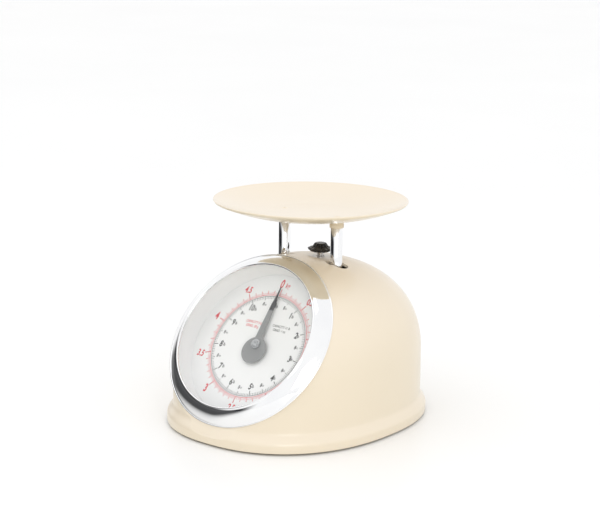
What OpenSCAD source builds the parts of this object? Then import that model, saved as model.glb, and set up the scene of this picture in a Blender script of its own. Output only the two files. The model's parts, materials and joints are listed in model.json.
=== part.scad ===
// Dial kitchen scale: domed body, leaning dial, round dish on two posts.
// Origin on the table under the middle of the body, dial towards -Y, +Z up.
// The pieces are drawn round the dish's axis and moved to that origin at the end.

/* [Body] */
// Half the width of the body wall, over the skirt
body_half_w = 100; // [90:1:110]
// Half the depth of the body wall, over the skirt
body_half_d = 119.5; // [112:0.5:130]
// How far the middle of the body lies in front of the dish axis
body_shift = 14; // [10:0.5:20]
// Squareness of the body's plan, 2 is an ellipse
plan_power = 2.28; // [2.1:0.02:2.6]
// Height of the top of the dome
dome_top_z = 146; // [142:1:154]
// Height where the wall turns into the dome
dome_start_z = 56; // [46:1:70]
// Squareness of the dome's side view, 2 is an ellipse
dome_power = 2.25; // [2:0.05:2.4]
// How far the crown of the dome leans backwards
dome_lean = 6; // [0:0.5:9]
// Draft of the wall, from the dome's start down to the table
wall_draft = 0.5; // [0:0.1:2]
// Thickness of the body shell
shell_wall = 2.4; // [1.8:0.1:3]
// How far the skirt stands out from the wall
skirt_w = 5.1; // [2:0.1:7]
// Height where the skirt starts to run in
skirt_low_z = 8; // [6:0.5:10]
// Height where the skirt has run into the wall
skirt_high_z = 19; // [15:0.5:24]
// Gap between the skirt and the table
skirt_gap = 2; // [1:0.5:3]
// Height of the floor of the well in the top of the dome
well_z = 142.5; // [142:0.5:146]
// Space between a post slot and the front of the well
well_rim = 2.5; // [1.5:0.5:4]

/* [Dial] */
// Lean of the dial, back from upright, in degrees
dial_tilt = 36.5; // [32:0.5:40]
// Distance of the dial's centre in front of the dish axis
dial_y = 83; // [80:0.5:86]
// Height of the dial's centre
dial_z = 83.5; // [80:0.5:87]
// Outer radius of the bezel
bezel_r = 83.6; // [82:0.1:85]
// Radius of the bezel's front edge
bezel_front_r = 69.4; // [66:0.2:71]
// Height of the bezel's front edge over its seat
bezel_h = 11.2; // [10:0.2:13]
// Thickness of the bezel's metal
bezel_t = 1.2; // [0.8:0.1:1.6]
// Thickness of the clear cover
lens_t = 1.4; // [1:0.1:1.8]
// Wall of the drum behind the cover
drum_wall = 1.8; // [1.2:0.1:2.2]
// Depth of the dial face below the bezel seat
face_depth = 13.6; // [12:0.2:15]
// Thickness of the dial plate
plate_t = 0.6; // [0.4:0.1:1]
// Thickness of the drum's back
drum_back_t = 1.8; // [1.5:0.1:2.5]
// Length of the pointer, shaft to tip
pointer_l = 57; // [50:1:62]
// Radius of the pointer's counterweight
weight_r = 12.6; // [8:0.2:15]

/* [Dish and posts] */
// Outer radius of the dish
dish_r = 88; // [80:1:100]
// Height of the dish's rim
dish_rim_z = 198; // [194:1:206]
// Depth of the dish inside
dish_depth = 12.5; // [10:0.5:16]
// Wall of the dish
dish_t = 1.8; // [1.2:0.1:2.5]
// Radius of the flat floor of the dish
dish_flat_r = 40; // [37:1:52]
// Half the distance between the posts
post_x = 30; // [28:0.5:33]
// Radius of a post
post_r = 5.5; // [4.5:0.1:6.5]
// Wall of a post
post_wall = 0.8; // [0.6:0.1:1.2]
// Radius of the cap on a post
cap_r = 6.4; // [6:0.1:8]
// Height of that cap
cap_h = 4.5; // [3:0.5:6]
// Length of a post slot
slot_l = 24; // [20:1:28]
// Side clearance of a post in its slot
slot_clear = 1.5; // [1:0.1:2]

/* [Zero adjustment] */
// Distance of the zero knob behind the posts
knob_y = 15.5; // [14:0.5:19]
// Radius of the zero knob
knob_r = 12.2; // [9:0.2:13]
// Height of the knob's underside above the well
knob_gap = 4.5; // [2:0.5:5]
// Height of the zero knob
knob_h = 8; // [7:0.5:12]
// Number of scallops on the knob
knob_lobes = 12; // [8:1:16]
// Radius of the zero screw
zero_screw_r = 3; // [2.5:0.1:3.5]
// Half the side of the square hanger nut
hanger_half = 6; // [5:0.25:7]
// Height of the middle of the hanger nut
hanger_z = 121; // [119:0.5:122]

/* [Mechanism] */
// Module of the rack and pinion
gear_module = 0.8; // [0.7:0.05:0.9]
// Teeth of the pinion
pinion_teeth = 7; // [7:1:8]
// Pressure angle of the teeth
pressure_angle = 25; // [22:1:27]
// Play between the teeth, along the pitch line
gear_backlash = 0.24; // [0.1:0.02:0.4]
// Radius of the pointer shaft
shaft_r = 1.5; // [1.2:0.1:1.8]
// Thickness of the rack
rack_t = 4; // [3:0.5:5]
// Radius of the drive pin
drive_pin_r = 1.5; // [1.2:0.1:2]
// Length of the parallel levers, pivot to pivot
lever_l = 60; // [54:1:66]
// Height of the lower lever's fixed pivot
low_pivot_z = 30; // [28:1:34]
// Height of the upper lever's fixed pivot
high_pivot_z = 78; // [72:1:80]
// Radius of the lever pins
pin_r = 2; // [1.5:0.1:2.5]
// Half the distance between a lever's two arms
lever_x = 16; // [15.5:0.5:17]
// Thickness of a lever's arms
lever_t = 3; // [2:0.5:3.5]
// Radius of the spring's coil, to the middle of the wire
coil_r = 6; // [5:0.25:6.5]
// Radius of the spring's wire
wire_r = 0.8; // [0.6:0.1:1]
// Turns of the spring
coil_turns = 11; // [8:1:14]

/* [Clearances] */
// Radial play of a shaft or pin in its bore
run_clear = 0.05; // [0.03:0.01:0.1]
// Play between pieces that slide on each other
slide_clear = 0.3; // [0.2:0.05:0.4]
// Gap between fixed pieces that sit side by side
seat_clear = 0.3; // [0.1:0.05:0.5]

/* [Base and frame] */
// Thickness of the base plate
base_t = 2.5; // [2:0.5:4]
// Radius of a rubber foot
foot_r = 8; // [6:0.5:10]
// Height of a rubber foot
foot_h = 4; // [3.5:0.5:5]
// Side place of the feet
foot_x = 60; // [50:1:66]
// Place of the front feet in front of the dish axis
foot_front_y = 85; // [70:1:92]
// Place of the rear feet behind the dish axis
foot_rear_y = 58; // [50:1:66]
// Thickness of the frame's sheet steel
frame_t = 2.5; // [2:0.1:3]

/* [Hidden] */
$fn = 64;
eps = 0.01;          // overlap that joins two shapes of one piece
through = 1;         // how far a cut runs past the face it opens

// Body shell
skirt_edge_z = 4;    // height over which the skirt's lower edge is rounded in
plan_steps = 72;     // points round one section of the body
dome_levels = 11;    // sections from the dome's start to its crown
wall_levels = concat([0, skirt_edge_z], [
    for (k = [0 : 4]) skirt_low_z + (skirt_high_z - skirt_low_z) * k / 4]);
crown_cut = 0.25;    // height of the small flat on the crown

// Dial, measured along the dial's own axis from the bezel seat
lens_top = bezel_h - bezel_t - 0.7;
lens_low = lens_top - lens_t;
lens_r = bezel_front_r + 0.6;
drum_r = lens_r + drum_wall;
face_z = -face_depth;
drum_floor = face_z - plate_t;
drum_rear = drum_floor - drum_back_t;
drum_in_r = drum_r - drum_wall;
drum_screw_r = 1;
drum_screw_head_r = 1.6;
drum_screw_head_h = 1.1;
drum_screw_l = 6;
drum_screw_at = drum_r + drum_screw_head_r + 0.5;
drum_screw_angle = 45;
flange_front = -6;   // front of the drum's flange
flange_t = 2;
flange_r = drum_screw_at + drum_screw_head_r + 1.7;
bezel_skirt_r = flange_r - 1.2;              // inside of the bezel's skirt
bezel_skirt_t = 1.3;
seat_ring_z = flange_front - flange_t;       // the drum's flange rests here
seat_ring_t = 2;

// Gears
pitch_r = gear_module * pinion_teeth / 2;
tooth_pitch = PI * gear_module;
rack_addendum = pitch_r * pow(sin(pressure_angle), 2);
pinion_addendum = gear_module * 0.85;
tip_gap = 0.25;
pinion_tip_r = pitch_r + pinion_addendum;
pinion_root_r = pitch_r - rack_addendum - tip_gap;
rack_root_x = pitch_r + pinion_addendum + tip_gap;
rack_back_x = rack_root_x + 7;
pinion_w = 5.5;
pinion_collar = 2;                           // collar in front of the teeth
pinion_front = drum_rear - 13.4;
rack_mid = pinion_front - pinion_w / 2;
rack_stroke = 2 * PI * pitch_r;              // one full turn of the pointer
pan_travel = rack_stroke * cos(dial_tilt);   // the same, seen as dish travel
rack_top_w = rack_stroke + 12.5;
rack_foot_w = -30;
rack_teeth_low = -4;
guide_low = [-14, -9];
guide_high = [6, 11];
guide_wall = 2.5;
bracket_rear = pinion_front - pinion_w - 5.2;
bracket_t = 2;
bracket_foot = [-30, -10];                   // foot of the bracket, across the dial
bracket_half_w = 9;
bush_flange_r = 5;
bush_r = 3;
bush_flange_t = 2;
shaft_rear = bracket_rear - bracket_t - 2.5;
shaft_front = face_z + 3.4;
pointer_z = face_z + 2.4;
pointer_t = 0.6;
gear_screw_r = 1.5;
gear_screw_head_r = 2.8;
gear_screw_head_h = 1.8;
guide_foot_x = 19;

// Carriage, levers and drive
carriage_y = 2.2;                            // lever pins on the carriage
lever_swing = asin(pan_travel / 2 / lever_l); // half the swing of a lever
pivot_y = carriage_y + lever_l * (1 + cos(lever_swing)) / 2;
low_pin_z = low_pivot_z + pan_travel / 2;
high_pin_z = high_pivot_z + pan_travel / 2;
cheek_x = 13;                                // outside of the carriage column
cheek_t = 2;
column_front = -post_r - 1.5;
column_rear = post_r + 1.5;
column_low_z = low_pin_z - 11;
beam_z = high_pin_z + 7;
beam_h = 12;
beam_half = post_x + post_r + 4.5;
socket_depth = beam_h - 2;
socket_clear = 0.05;
grub_r = 1.5;
rivet_r = 1.5;
lug_z = 48;                                  // lower hook of the spring
hook_z = hanger_z - 11;                      // upper hook of the spring
hook_hole_r = 2.6;
lug_t = 3;
drive_z = 42.5;                              // drive pin at rest
drive_y = -56;
drive_x = rack_root_x + 4.4;                 // inner face of the rack's arm
rack_arm_t = 3;
rack_arm_half_h = 4.5;
slot_run = rack_stroke * sin(dial_tilt);     // how far the pin shifts in its slot
drive_arm_x = drive_x + rack_arm_t + 1.4;
drive_arm_t = 2.5;
pin_head = 1.2;                              // how far a pin's head stands out

// Base
plate_low_z = skirt_gap + 1.5;
plate_top_z = plate_low_z + base_t;
base_screw_x = 78;
base_screw_front = 62;
base_screw_rear = 38;
base_screw_r = 1.6;
base_screw_head_r = 3.2;
base_screw_l = 12;
screw_head_h = 1.2;
boss_r = 4.5;
boss_top_z = 24;
foot_chamfer = 1;
rib_t = 3;
frame_x = lever_x + lever_t / 2 + 1.5 + frame_t;
frame_flange = 10;
frame_half_y = 8;
frame_top_z = high_pivot_z + 8;
frame_screw_r = 1.6;
frame_screw_head_r = 3;
frame_screw_head_h = 1.4;
bumper_r = 6;
bumper_top_z = column_low_z - pan_travel - 0.5;

// Zero adjustment
knob_z = well_z + knob_gap;
boss_low_z = 131;
cage_wall = 2;
cage_low_z = 110;
hanger_half_h = 4;                           // half the height of the hanger nut
zero_screw_low_z = hanger_z - hanger_half_h + 1.3;
clip_t = 1.2;
clip_r = 5;
knob_flange_h = 3;
knob_lobe_r = 2.1;
knob_cover = 2;                              // knob's thickness over the screw's end

// Dish and posts
slot_w = 2 * (post_r + slot_clear);
post_low_z = beam_z + beam_h - socket_depth;
dish_floor_z = dish_rim_z - dish_depth;
dish_low_z = dish_floor_z - dish_t;
post_top_z = dish_low_z - cap_h;
plug_r = post_r - post_wall - socket_clear;
plug_l = 12;
dish_screw_r = 1.6;
dish_screw_head_r = 3;
dish_screw_head_h = 1.1;                     // sunk, flush with the floor of the dish
dish_screw_l = 13;

// Spring
hook_r = 4.5;
hook_step = 20;      // degrees between two points of a hook
turn_steps = 14;     // points round one turn of the coil
wire_sides = 8;
coil_low_z = lug_z + 2 * hook_r;
coil_high_z = hook_z - 2 * hook_r;

function signed_power(v, e) = sign(v) * pow(abs(v), e);

// Smooth step from 0 to 1
function smooth(u) = u <= 0 ? 0 : u >= 1 ? 1 : u * u * (3 - 2 * u);

// How far the wall stands out at a height, from the skirt and the draft
function wall_grow(z) =
    skirt_w * smooth((skirt_high_z - z) / (skirt_high_z - skirt_low_z))
    - 0.3 * pow(max(0, 1 - z / skirt_edge_z), 2)
    + wall_draft * max(0, 1 - z / dome_start_z);

// Size of a dome section against the wall's own, from 1 at the start to 0 at the crown
function dome_scale(u) = pow(max(0, 1 - pow(u, dome_power)), 1 / dome_power);

// One closed section: half width, half depth, centre in Y and height
function section(a, b, y, z) = [
    for (i = [0 : plan_steps - 1])
        let (t = 360 * i / plan_steps)
        [a * signed_power(cos(t), 2 / plan_power),
         y + b * signed_power(sin(t), 2 / plan_power), z]
];

function wall_section(z, inset) =
    section(body_half_w + wall_grow(z) - inset, body_half_d + wall_grow(z) - inset,
            -body_shift, z);

// Dome section number k, thinned by inset all round
function dome_section(k, inset) =
    let (u = sin(90 * k / dome_levels),
         rise = dome_top_z - inset - dome_start_z,
         top = 1 - crown_cut / rise,
         h = min(u, top),
         s = dome_scale(h))
    section((body_half_w - inset) * s, (body_half_d - inset) * s,
            -body_shift + dome_lean * (1 - s), dome_start_z + rise * h);

// A solid through a list of sections, from the lowest to the highest
module loft(sections) {
    n = plan_steps;
    rings = len(sections);
    points = [for (s = sections) each s];
    sides = [
        for (r = [0 : rings - 2], i = [0 : n - 1])
            let (a = r * n + i, b = r * n + (i + 1) % n)
            each [[a, a + n, b + n], [a, b + n, b]]
    ];
    floor_face = [for (i = [0 : n - 1]) i];
    roof_face = [for (i = [n - 1 : -1 : 0]) (rings - 1) * n + i];
    polyhedron(points, concat([floor_face], sides, [roof_face]), convexity = 6);
}

// The outside of the whole dome, standing on low_z
module dome_solid(low_z, inset) {
    loft(concat(
        [wall_section(low_z, inset)],
        [for (z = wall_levels) if (z > low_z + 0.5) wall_section(z, inset)],
        [for (k = [0 : dome_levels]) dome_section(k, inset)]
    ));
}

// Places children in the dial's frame: Z out of the dial, Y up the dial
module at_dial() {
    translate([0, -dial_y, dial_z])
        rotate([90 - dial_tilt, 0, 0])
            children();
}

module ring(r_out, r_in, z, h) {
    translate([0, 0, z])
        difference() {
            cylinder(r = r_out, h = h);
            translate([0, 0, -through])
                cylinder(r = r_in, h = h + 2 * through);
        }
}

module disc(r, z, h) {
    translate([0, 0, z])
        cylinder(r = r, h = h);
}

// A bar along X at [y, z]
module x_bar(r, x0, x1, y, z) {
    translate([x0, y, z])
        rotate([0, 90, 0])
            cylinder(r = r, h = x1 - x0);
}

// A box given by its two corners
module box(low, high) {
    translate(low)
        cube(high - low);
}

module at_posts() {
    for (side = [-1, 1])
        translate([side * post_x, 0, 0])
            children();
}

// A slot along X with round ends
module slot(length, width, z0, z1) {
    r = width / 2;
    half = length / 2 - r;
    for (side = [-1, 1])
        translate([side * half, 0, z0])
            cylinder(r = r, h = z1 - z0);
    box([-half, -r, z0], [half, r, z1]);
}

// Flat-bottomed well in the crown: the posts in front, the knob behind them
module well(grow, low_z) {
    front = slot_w / 2 + well_rim + grow;
    height = dome_top_z + through - low_z;
    translate([0, 0, low_z]) {
        at_posts() {
            cylinder(r = front, h = height);
            box([-2 * front, 0, 0], [2 * front, body_half_d, height]);
        }
        box([-post_x, -front / 2, 0], [post_x, body_half_d, height]);
    }
}

module at_drum_screws() {
    for (k = [0 : 3])
        rotate([0, 0, drum_screw_angle + 90 * k])
            translate([drum_screw_at, 0, 0])
                children();
}

// Places children at the four base screws, turned so that +X points at the wall
module at_base_screws() {
    for (side = [0, 1])
        for (y = [-base_screw_front, base_screw_rear])
            mirror([side, 0, 0])
                translate([base_screw_x, y, 0])
                    children();
}

module body_shell() {
    cage_hole = hanger_half + slide_clear;
    cage = cage_hole + cage_wall;
    beyond = 2 * (body_half_w + body_half_d);
    opening_r = bezel_skirt_r + bezel_skirt_t + seat_clear;
    color("wheat")
    difference() {
        union() {
            difference() {
                dome_solid(skirt_gap, 0);
                dome_solid(0, shell_wall);
            }
            // everything inside the skin is kept within half the wall
            intersection() {
                dome_solid(skirt_gap, shell_wall / 2);
                union() {
                    at_dial() {
                        // rim turned in under the bezel, and the ring that holds the drum
                        ring(beyond, opening_r, -shell_wall, shell_wall);
                        ring(bezel_r, drum_r + 0.5, seat_ring_z - seat_ring_t, seat_ring_t);
                    }
                    well(shell_wall, well_z - shell_wall);
                    at_base_screws() {
                        disc(boss_r, plate_top_z, boss_top_z - plate_top_z);
                        box([0, -rib_t / 2, plate_top_z], [body_half_w, rib_t / 2, boss_top_z - 2]);
                    }
                }
            }
            // boss of the zero screw on top of the square cage of the hanger nut
            translate([0, knob_y, 0])
                difference() {
                    box([-cage, -cage, cage_low_z], [cage, cage, well_z - shell_wall / 2]);
                    box([-cage_hole, -cage_hole, cage_low_z - through], [cage_hole, cage_hole, boss_low_z]);
                }
        }
        well(0, well_z);
        // the dial's seat: everything in front of it is open
        at_dial() {
            box([-beyond, -beyond, 0], [beyond, beyond, beyond]);
            disc(opening_r, seat_ring_z, -seat_ring_z + eps);
        }
        at_posts()
            slot(slot_l, slot_w, well_z - 2 * shell_wall, dome_top_z);
        translate([0, knob_y, 0])
            disc(zero_screw_r + run_clear, cage_low_z, dome_top_z);
        at_base_screws()
            disc(base_screw_r, plate_top_z - through, base_screw_l);
        at_dial()
            at_drum_screws()
                disc(drum_screw_r, seat_ring_z - seat_ring_t - through, seat_ring_t + 2 * through);
    }
}

module base_plate() {
    color("ivory")
    difference() {
        translate([0, 0, plate_low_z])
            linear_extrude(base_t)
                polygon([for (p = wall_section(plate_top_z, shell_wall + seat_clear + 1)) [p.x, p.y]]);
        at_feet()
            disc(foot_r + seat_clear, plate_low_z - through, foot_h - plate_low_z + through);
        at_base_screws() {
            disc(base_screw_r + seat_clear, plate_low_z - through, base_t + 2 * through);
        }
        at_frame_screws()
            disc(frame_screw_r, plate_low_z - through, base_t + 2 * through);
    }
}

// Places children at the four rubber feet
module at_feet() {
    for (side = [-1, 1])
        for (y = [-foot_front_y, foot_rear_y])
            translate([side * foot_x, y, 0])
                children();
}

module rubber_feet() {
    color("dimgray")
    at_feet() {
        disc(foot_r - foot_chamfer, 0, foot_chamfer);
        disc(foot_r, foot_chamfer - eps, foot_h - foot_chamfer + eps);
    }
}

module base_screws() {
    color("silver")
    at_base_screws() {
        disc(base_screw_head_r, plate_low_z - screw_head_h, screw_head_h);
        disc(base_screw_r, plate_low_z - eps, base_screw_l - 1);
    }
}

module bezel_ring() {
    inner = bezel_front_r - 0.8;
    seat_in_r = bezel_r - 1.4 - bezel_t;
    color("gainsboro")
    at_dial()
        union() {
            // cone from the seat up to the rolled front edge
            rotate_extrude($fn = 128)
                polygon([
                    [bezel_r, 0],
                    [bezel_r, bezel_t * 0.7],
                    [bezel_r - 0.5, bezel_t],
                    for (k = [1 : 6])
                        let (u = k / 7)
                        [bezel_r - 0.5 - u * (bezel_r - bezel_front_r - 1.2),
                         bezel_t + u * (bezel_h - bezel_t - 0.4) + 1.1 * sin(180 * u)],
                    [bezel_front_r + 0.7, bezel_h - 0.4],
                    [bezel_front_r, bezel_h],
                    [inner + 0.3, bezel_h - 0.2],
                    [inner, bezel_h - 0.6],
                    [inner, lens_top],
                    [lens_r + 0.2, lens_top],
                    [seat_in_r, bezel_t * 0.9],
                    [seat_in_r, 0]
                ]);
            // flange on the body and skirt down to the drum
            ring(bezel_r - 0.5, bezel_skirt_r, 0, bezel_t * 0.8);
            ring(bezel_skirt_r + bezel_skirt_t, bezel_skirt_r, flange_front, -flange_front + bezel_t / 2);
        }
}

module dial_lens() {
    color("aliceblue", 0.3)
    at_dial()
        disc(lens_r, lens_low, lens_t);
}

module dial_drum() {
    color("white")
    at_dial()
        difference() {
            union() {
                disc(drum_r, drum_rear, lens_low - drum_rear);
                disc(flange_r, flange_front - flange_t, flange_t);
            }
            disc(drum_in_r, drum_floor, lens_low - drum_floor + through);
            disc(bush_r, drum_rear - through, drum_back_t + 2 * through);
            at_drum_screws()
                disc(drum_screw_r + 0.15, flange_front - flange_t - through, flange_t + 2 * through);
            at_gear_screws()
                disc(gear_screw_r, drum_rear - through, drum_back_t + through - 0.3);
        }
}

module drum_screws() {
    color("silver")
    at_dial()
        at_drum_screws() {
            disc(drum_screw_head_r, flange_front, drum_screw_head_h);
            disc(drum_screw_r, flange_front - drum_screw_l, drum_screw_l + eps);
        }
}

module dial_plate() {
    color("whitesmoke")
    at_dial()
        ring(drum_in_r - seat_clear, bush_r + 1, drum_floor, plate_t);
}

// Flat blade from the shaft to the tip, and a round counterweight below the shaft
module pointer() {
    root = 4.2;
    neck = 1.1;
    tip = 0.45;
    color("gray")
    at_dial()
        translate([0, 0, pointer_z])
            difference() {
                union() {
                    linear_extrude(pointer_t)
                        polygon([[-root, 0], [root, 0], [neck, pointer_l * 0.8], [tip, pointer_l],
                                 [-tip, pointer_l], [-neck, pointer_l * 0.8]]);
                    translate([0, -weight_r * 0.45, 0])
                        cylinder(r = weight_r, h = pointer_t);
                }
                disc(shaft_r, -through, pointer_t + 2 * through);
            }
}

module pointer_cap() {
    low = pointer_z + pointer_t;
    hub_h = 1.6;
    button_h = 0.9;
    color("darkgray")
    at_dial()
        difference() {
            union() {
                disc(shaft_r + 3.1, low, hub_h);
                disc(shaft_r + 1.9, low + hub_h - eps, button_h);
            }
            disc(shaft_r, pointer_z, shaft_front - pointer_z);
        }
}

module pointer_shaft() {
    color("silver")
    at_dial()
        disc(shaft_r, shaft_rear, shaft_front - shaft_rear);
}

module front_bush() {
    rear = drum_rear - bush_flange_t;
    color("goldenrod")
    at_dial()
        difference() {
            union() {
                disc(bush_r, rear, face_z - rear);
                disc(bush_flange_r, rear, bush_flange_t);
            }
            disc(shaft_r + run_clear, rear - through, face_z - rear + 2 * through);
        }
}

module rear_bush() {
    rear = bracket_rear - bracket_t;
    length = bracket_t + 1;
    color("goldenrod")
    at_dial()
        difference() {
            union() {
                disc(bush_r, rear, length);
                disc(bush_flange_r, rear - 1.5, 1.5);
            }
            disc(shaft_r + run_clear, rear - 1.5 - through, length + 1.5 + 2 * through);
        }
}

// Angle between a tooth's middle and its flank at radius r
function flank_angle(r) =
    let (base_r = pitch_r * cos(pressure_angle),
         a = acos(min(1, base_r / r)),
         half = (tooth_pitch / 2 - gear_backlash / 2) / (2 * pitch_r) * 180 / PI,
         roll = tan(pressure_angle) - pressure_angle * PI / 180 - tan(a) + a * PI / 180)
    half + roll * 180 / PI;

module pinion() {
    flank_steps = 5;
    base_r = pitch_r * cos(pressure_angle);
    low_r = max(base_r, pinion_root_r);
    radii = [for (k = [0 : flank_steps]) low_r + (pinion_tip_r - low_r) * k / flank_steps];
    step = 360 / pinion_teeth;
    // a tooth points at the middle of a rack gap when the pointer is at zero
    outline = [
        for (t = [0 : pinion_teeth - 1])
            each concat(
                [[pinion_root_r, t * step - flank_angle(low_r)]],
                [for (r = radii) [r, t * step - flank_angle(r)]],
                [for (k = [flank_steps : -1 : 0]) [radii[k], t * step + flank_angle(radii[k])]],
                [[pinion_root_r, t * step + flank_angle(low_r)]]
            )
    ];
    color("goldenrod")
    at_dial()
        translate([0, 0, pinion_front - pinion_w])
            difference() {
                union() {
                    linear_extrude(pinion_w)
                        polygon([for (p = outline) [p.x * cos(p.y), p.x * sin(p.y)]]);
                    disc(pinion_root_r + 0.6, pinion_w - eps, pinion_collar);
                }
                disc(shaft_r, -through, pinion_w + pinion_collar + 2 * through);
            }
}

module rack() {
    lean = tan(pressure_angle);
    half_tip = (tooth_pitch - gear_backlash) / 4 - rack_addendum * lean;
    tip_x = pitch_r - rack_addendum;
    depth = rack_root_x - tip_x;
    half_root = half_tip + depth * lean;
    first = ceil(rack_teeth_low / tooth_pitch);
    last = floor((rack_stroke - rack_teeth_low) / tooth_pitch);
    slot_r = drive_pin_r + slide_clear;
    slot_x1 = drive_x + rack_arm_t;
    profile = concat(
        [[rack_back_x, rack_foot_w], [rack_root_x, rack_foot_w]],
        [for (k = [first : last])
            let (w = (k + 0.5) * tooth_pitch)
            each [[rack_root_x, w - half_root], [tip_x, w - half_tip],
                  [tip_x, w + half_tip], [rack_root_x, w + half_root]]],
        [[rack_root_x, rack_top_w], [rack_back_x, rack_top_w]]
    );
    color("lightgray")
    difference() {
        union() {
            at_dial()
                translate([0, 0, rack_mid - rack_t / 2])
                    linear_extrude(rack_t)
                        polygon(profile);
            // level arm with the slot of the drive pin
            box([drive_x, drive_y - 16, drive_z - rack_arm_half_h],
                [slot_x1, drive_y + slot_run + rack_arm_half_h, drive_z + rack_arm_half_h]);
        }
        for (y = [drive_y, drive_y + slot_run])
            x_bar(slot_r, drive_x - through, slot_x1 + through, y, drive_z);
        box([drive_x - through, drive_y, drive_z - slot_r],
            [slot_x1 + through, drive_y + slot_run, drive_z + slot_r]);
    }
}

module at_gear_screws() {
    for (p = [[-22, -9], [-22, 9], [guide_foot_x, -10], [guide_foot_x, 7]])
        translate([p.x, p.y, 0])
            children();
}

// Sheet bracket that reaches round the pinion and holds the rear bush
module gear_bracket() {
    low = bracket_rear - bracket_t;
    web = bracket_foot[1] - bracket_t;
    half = bracket_half_w;
    foot_half = 15;
    color("silver")
    at_dial()
        difference() {
            union() {
                box([bracket_foot[0], -foot_half, drum_rear - bracket_t],
                    [bracket_foot[1], foot_half, drum_rear]);
                box([web, -half, low], [bracket_foot[1], half, drum_rear]);
                box([web, -half, low], [bush_flange_r + 0.5, half, bracket_rear]);
            }
            disc(bush_r, bracket_rear - bracket_t - through, bracket_t + 2 * through);
            at_gear_screws()
                disc(gear_screw_r + 0.15, drum_rear - bracket_t - through, bracket_t + 2 * through);
        }
}

// Two saddles that the rack slides through, on one wall and foot
module rack_guide() {
    low = rack_mid - rack_t / 2 - slide_clear;
    high = rack_mid + rack_t / 2 + slide_clear;
    wall_x = rack_back_x + slide_clear;
    outer_x = wall_x + guide_wall;
    foot_x1 = guide_foot_x + 5;
    color("dimgray")
    at_dial()
        difference() {
            union() {
                for (span = [guide_low, guide_high])
                    box([-0.5, span[0], low - guide_wall], [outer_x, span[1], high + guide_wall]);
                box([wall_x, guide_low[0], low - guide_wall], [outer_x, guide_high[1], drum_rear]);
                box([wall_x, guide_low[0], drum_rear - bracket_t], [foot_x1, guide_high[1], drum_rear]);
            }
            box([pitch_r - rack_addendum - slide_clear, guide_low[0] - through, low],
                [wall_x, guide_high[1] + through, high]);
            at_gear_screws()
                disc(gear_screw_r + 0.15, drum_rear - bracket_t - through, bracket_t + 2 * through);
        }
}

module bracket_screws() {
    color("silver")
    at_dial()
        at_gear_screws() {
            disc(gear_screw_head_r, drum_rear - bracket_t - gear_screw_head_h, gear_screw_head_h);
            disc(gear_screw_r, drum_rear - bracket_t - eps, bracket_t + drum_back_t - 0.4);
        }
}

// Yoke: a beam with the two post sockets on a column between the levers
module carriage() {
    color("slategray")
    difference() {
        union() {
            box([-beam_half, column_front, beam_z], [beam_half, column_rear, beam_z + beam_h]);
            box([-cheek_x, column_front, column_low_z], [cheek_x, column_front + cheek_t, beam_z + eps]);
            for (side = [0, 1])
                mirror([side, 0, 0])
                    box([cheek_x - cheek_t, column_front, column_low_z],
                        [cheek_x, column_rear, beam_z + eps]);
            box([-cheek_x, column_front, column_low_z], [cheek_x, column_rear, column_low_z + 2.5]);
            // lug of the spring's lower hook
            box([-lug_t / 2, column_front, lug_z - 8], [lug_t / 2, knob_y + 5, lug_z + 5]);
        }
        at_posts()
            disc(post_r + socket_clear, beam_z + beam_h - socket_depth, socket_depth + through);
        at_grub_screws()
            disc(grub_r, -through, column_rear - column_front);
        x_bar(hook_hole_r, -lug_t, lug_t, knob_y, lug_z);
        for (z = [low_pin_z, high_pin_z])
            x_bar(pin_r, -cheek_x - through, cheek_x + through, carriage_y, z);
        at_rivets()
            disc(rivet_r, -through, cheek_t + 2 * through);
    }
}

// Riveted to the front of the column, it reaches forward to the rack
module drive_arm() {
    arm_x1 = drive_arm_x + drive_arm_t;
    color("silver")
    difference() {
        union() {
            box([-10, column_front - drive_arm_t, drive_z - 7],
                [arm_x1, column_front, drive_z + 7]);
            box([drive_arm_x, drive_y - 4, drive_z - 5], [arm_x1, column_front, drive_z + 5]);
        }
        x_bar(drive_pin_r, drive_arm_x - through, arm_x1 + through, drive_y, drive_z);
        at_rivets()
            disc(rivet_r, -drive_arm_t - through, drive_arm_t + 2 * through);
    }
}

// Places children at the two rivets of the drive arm, with Z along +Y
module at_rivets() {
    for (x = [-6, 4])
        translate([x, column_front, drive_z])
            rotate([-90, 0, 0])
                children();
}

module arm_rivets() {
    color("silver")
    at_rivets() {
        disc(rivet_r, -drive_arm_t - eps, drive_arm_t + cheek_t + 2 * eps);
        for (z = [-drive_arm_t - 1, cheek_t])
            disc(rivet_r + 1, z, 1);
    }
}

module drive_pin() {
    head_x = drive_arm_x + drive_arm_t;
    color("silver") {
        x_bar(drive_pin_r, drive_x - 1.2, head_x + eps, drive_y, drive_z);
        x_bar(drive_pin_r + pin_head, head_x, head_x + 1, drive_y, drive_z);
    }
}

module post() {
    color("lightgray")
    ring(post_r, post_r - post_wall, post_low_z, post_top_z - post_low_z);
}

module post_left() {
    translate([-post_x, 0, 0])
        post();
}

module post_right() {
    translate([post_x, 0, 0])
        post();
}

module post_caps() {
    color("wheat")
    at_posts()
        difference() {
            union() {
                disc(cap_r, post_top_z, cap_h);
                disc(plug_r, post_top_z - plug_l, plug_l + eps);
            }
            disc(dish_screw_r, dish_low_z - dish_screw_l + dish_t - 1, dish_screw_l + 1);
        }
}

// Places children at the two grub screws, with Z along +Y from the beam's front
module at_grub_screws() {
    at_posts()
        translate([0, column_front, beam_z + beam_h / 2])
            rotate([-90, 0, 0])
                children();
}

module post_screws() {
    color("gray")
    at_grub_screws()
        cylinder(r = grub_r, h = -column_front - post_r);
}

// Height of the dish's surface at radius r over its flat floor
function dish_rise(r) = dish_depth * pow(max(0, r - dish_flat_r) / (dish_r - dish_flat_r), 1.6);

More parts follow.
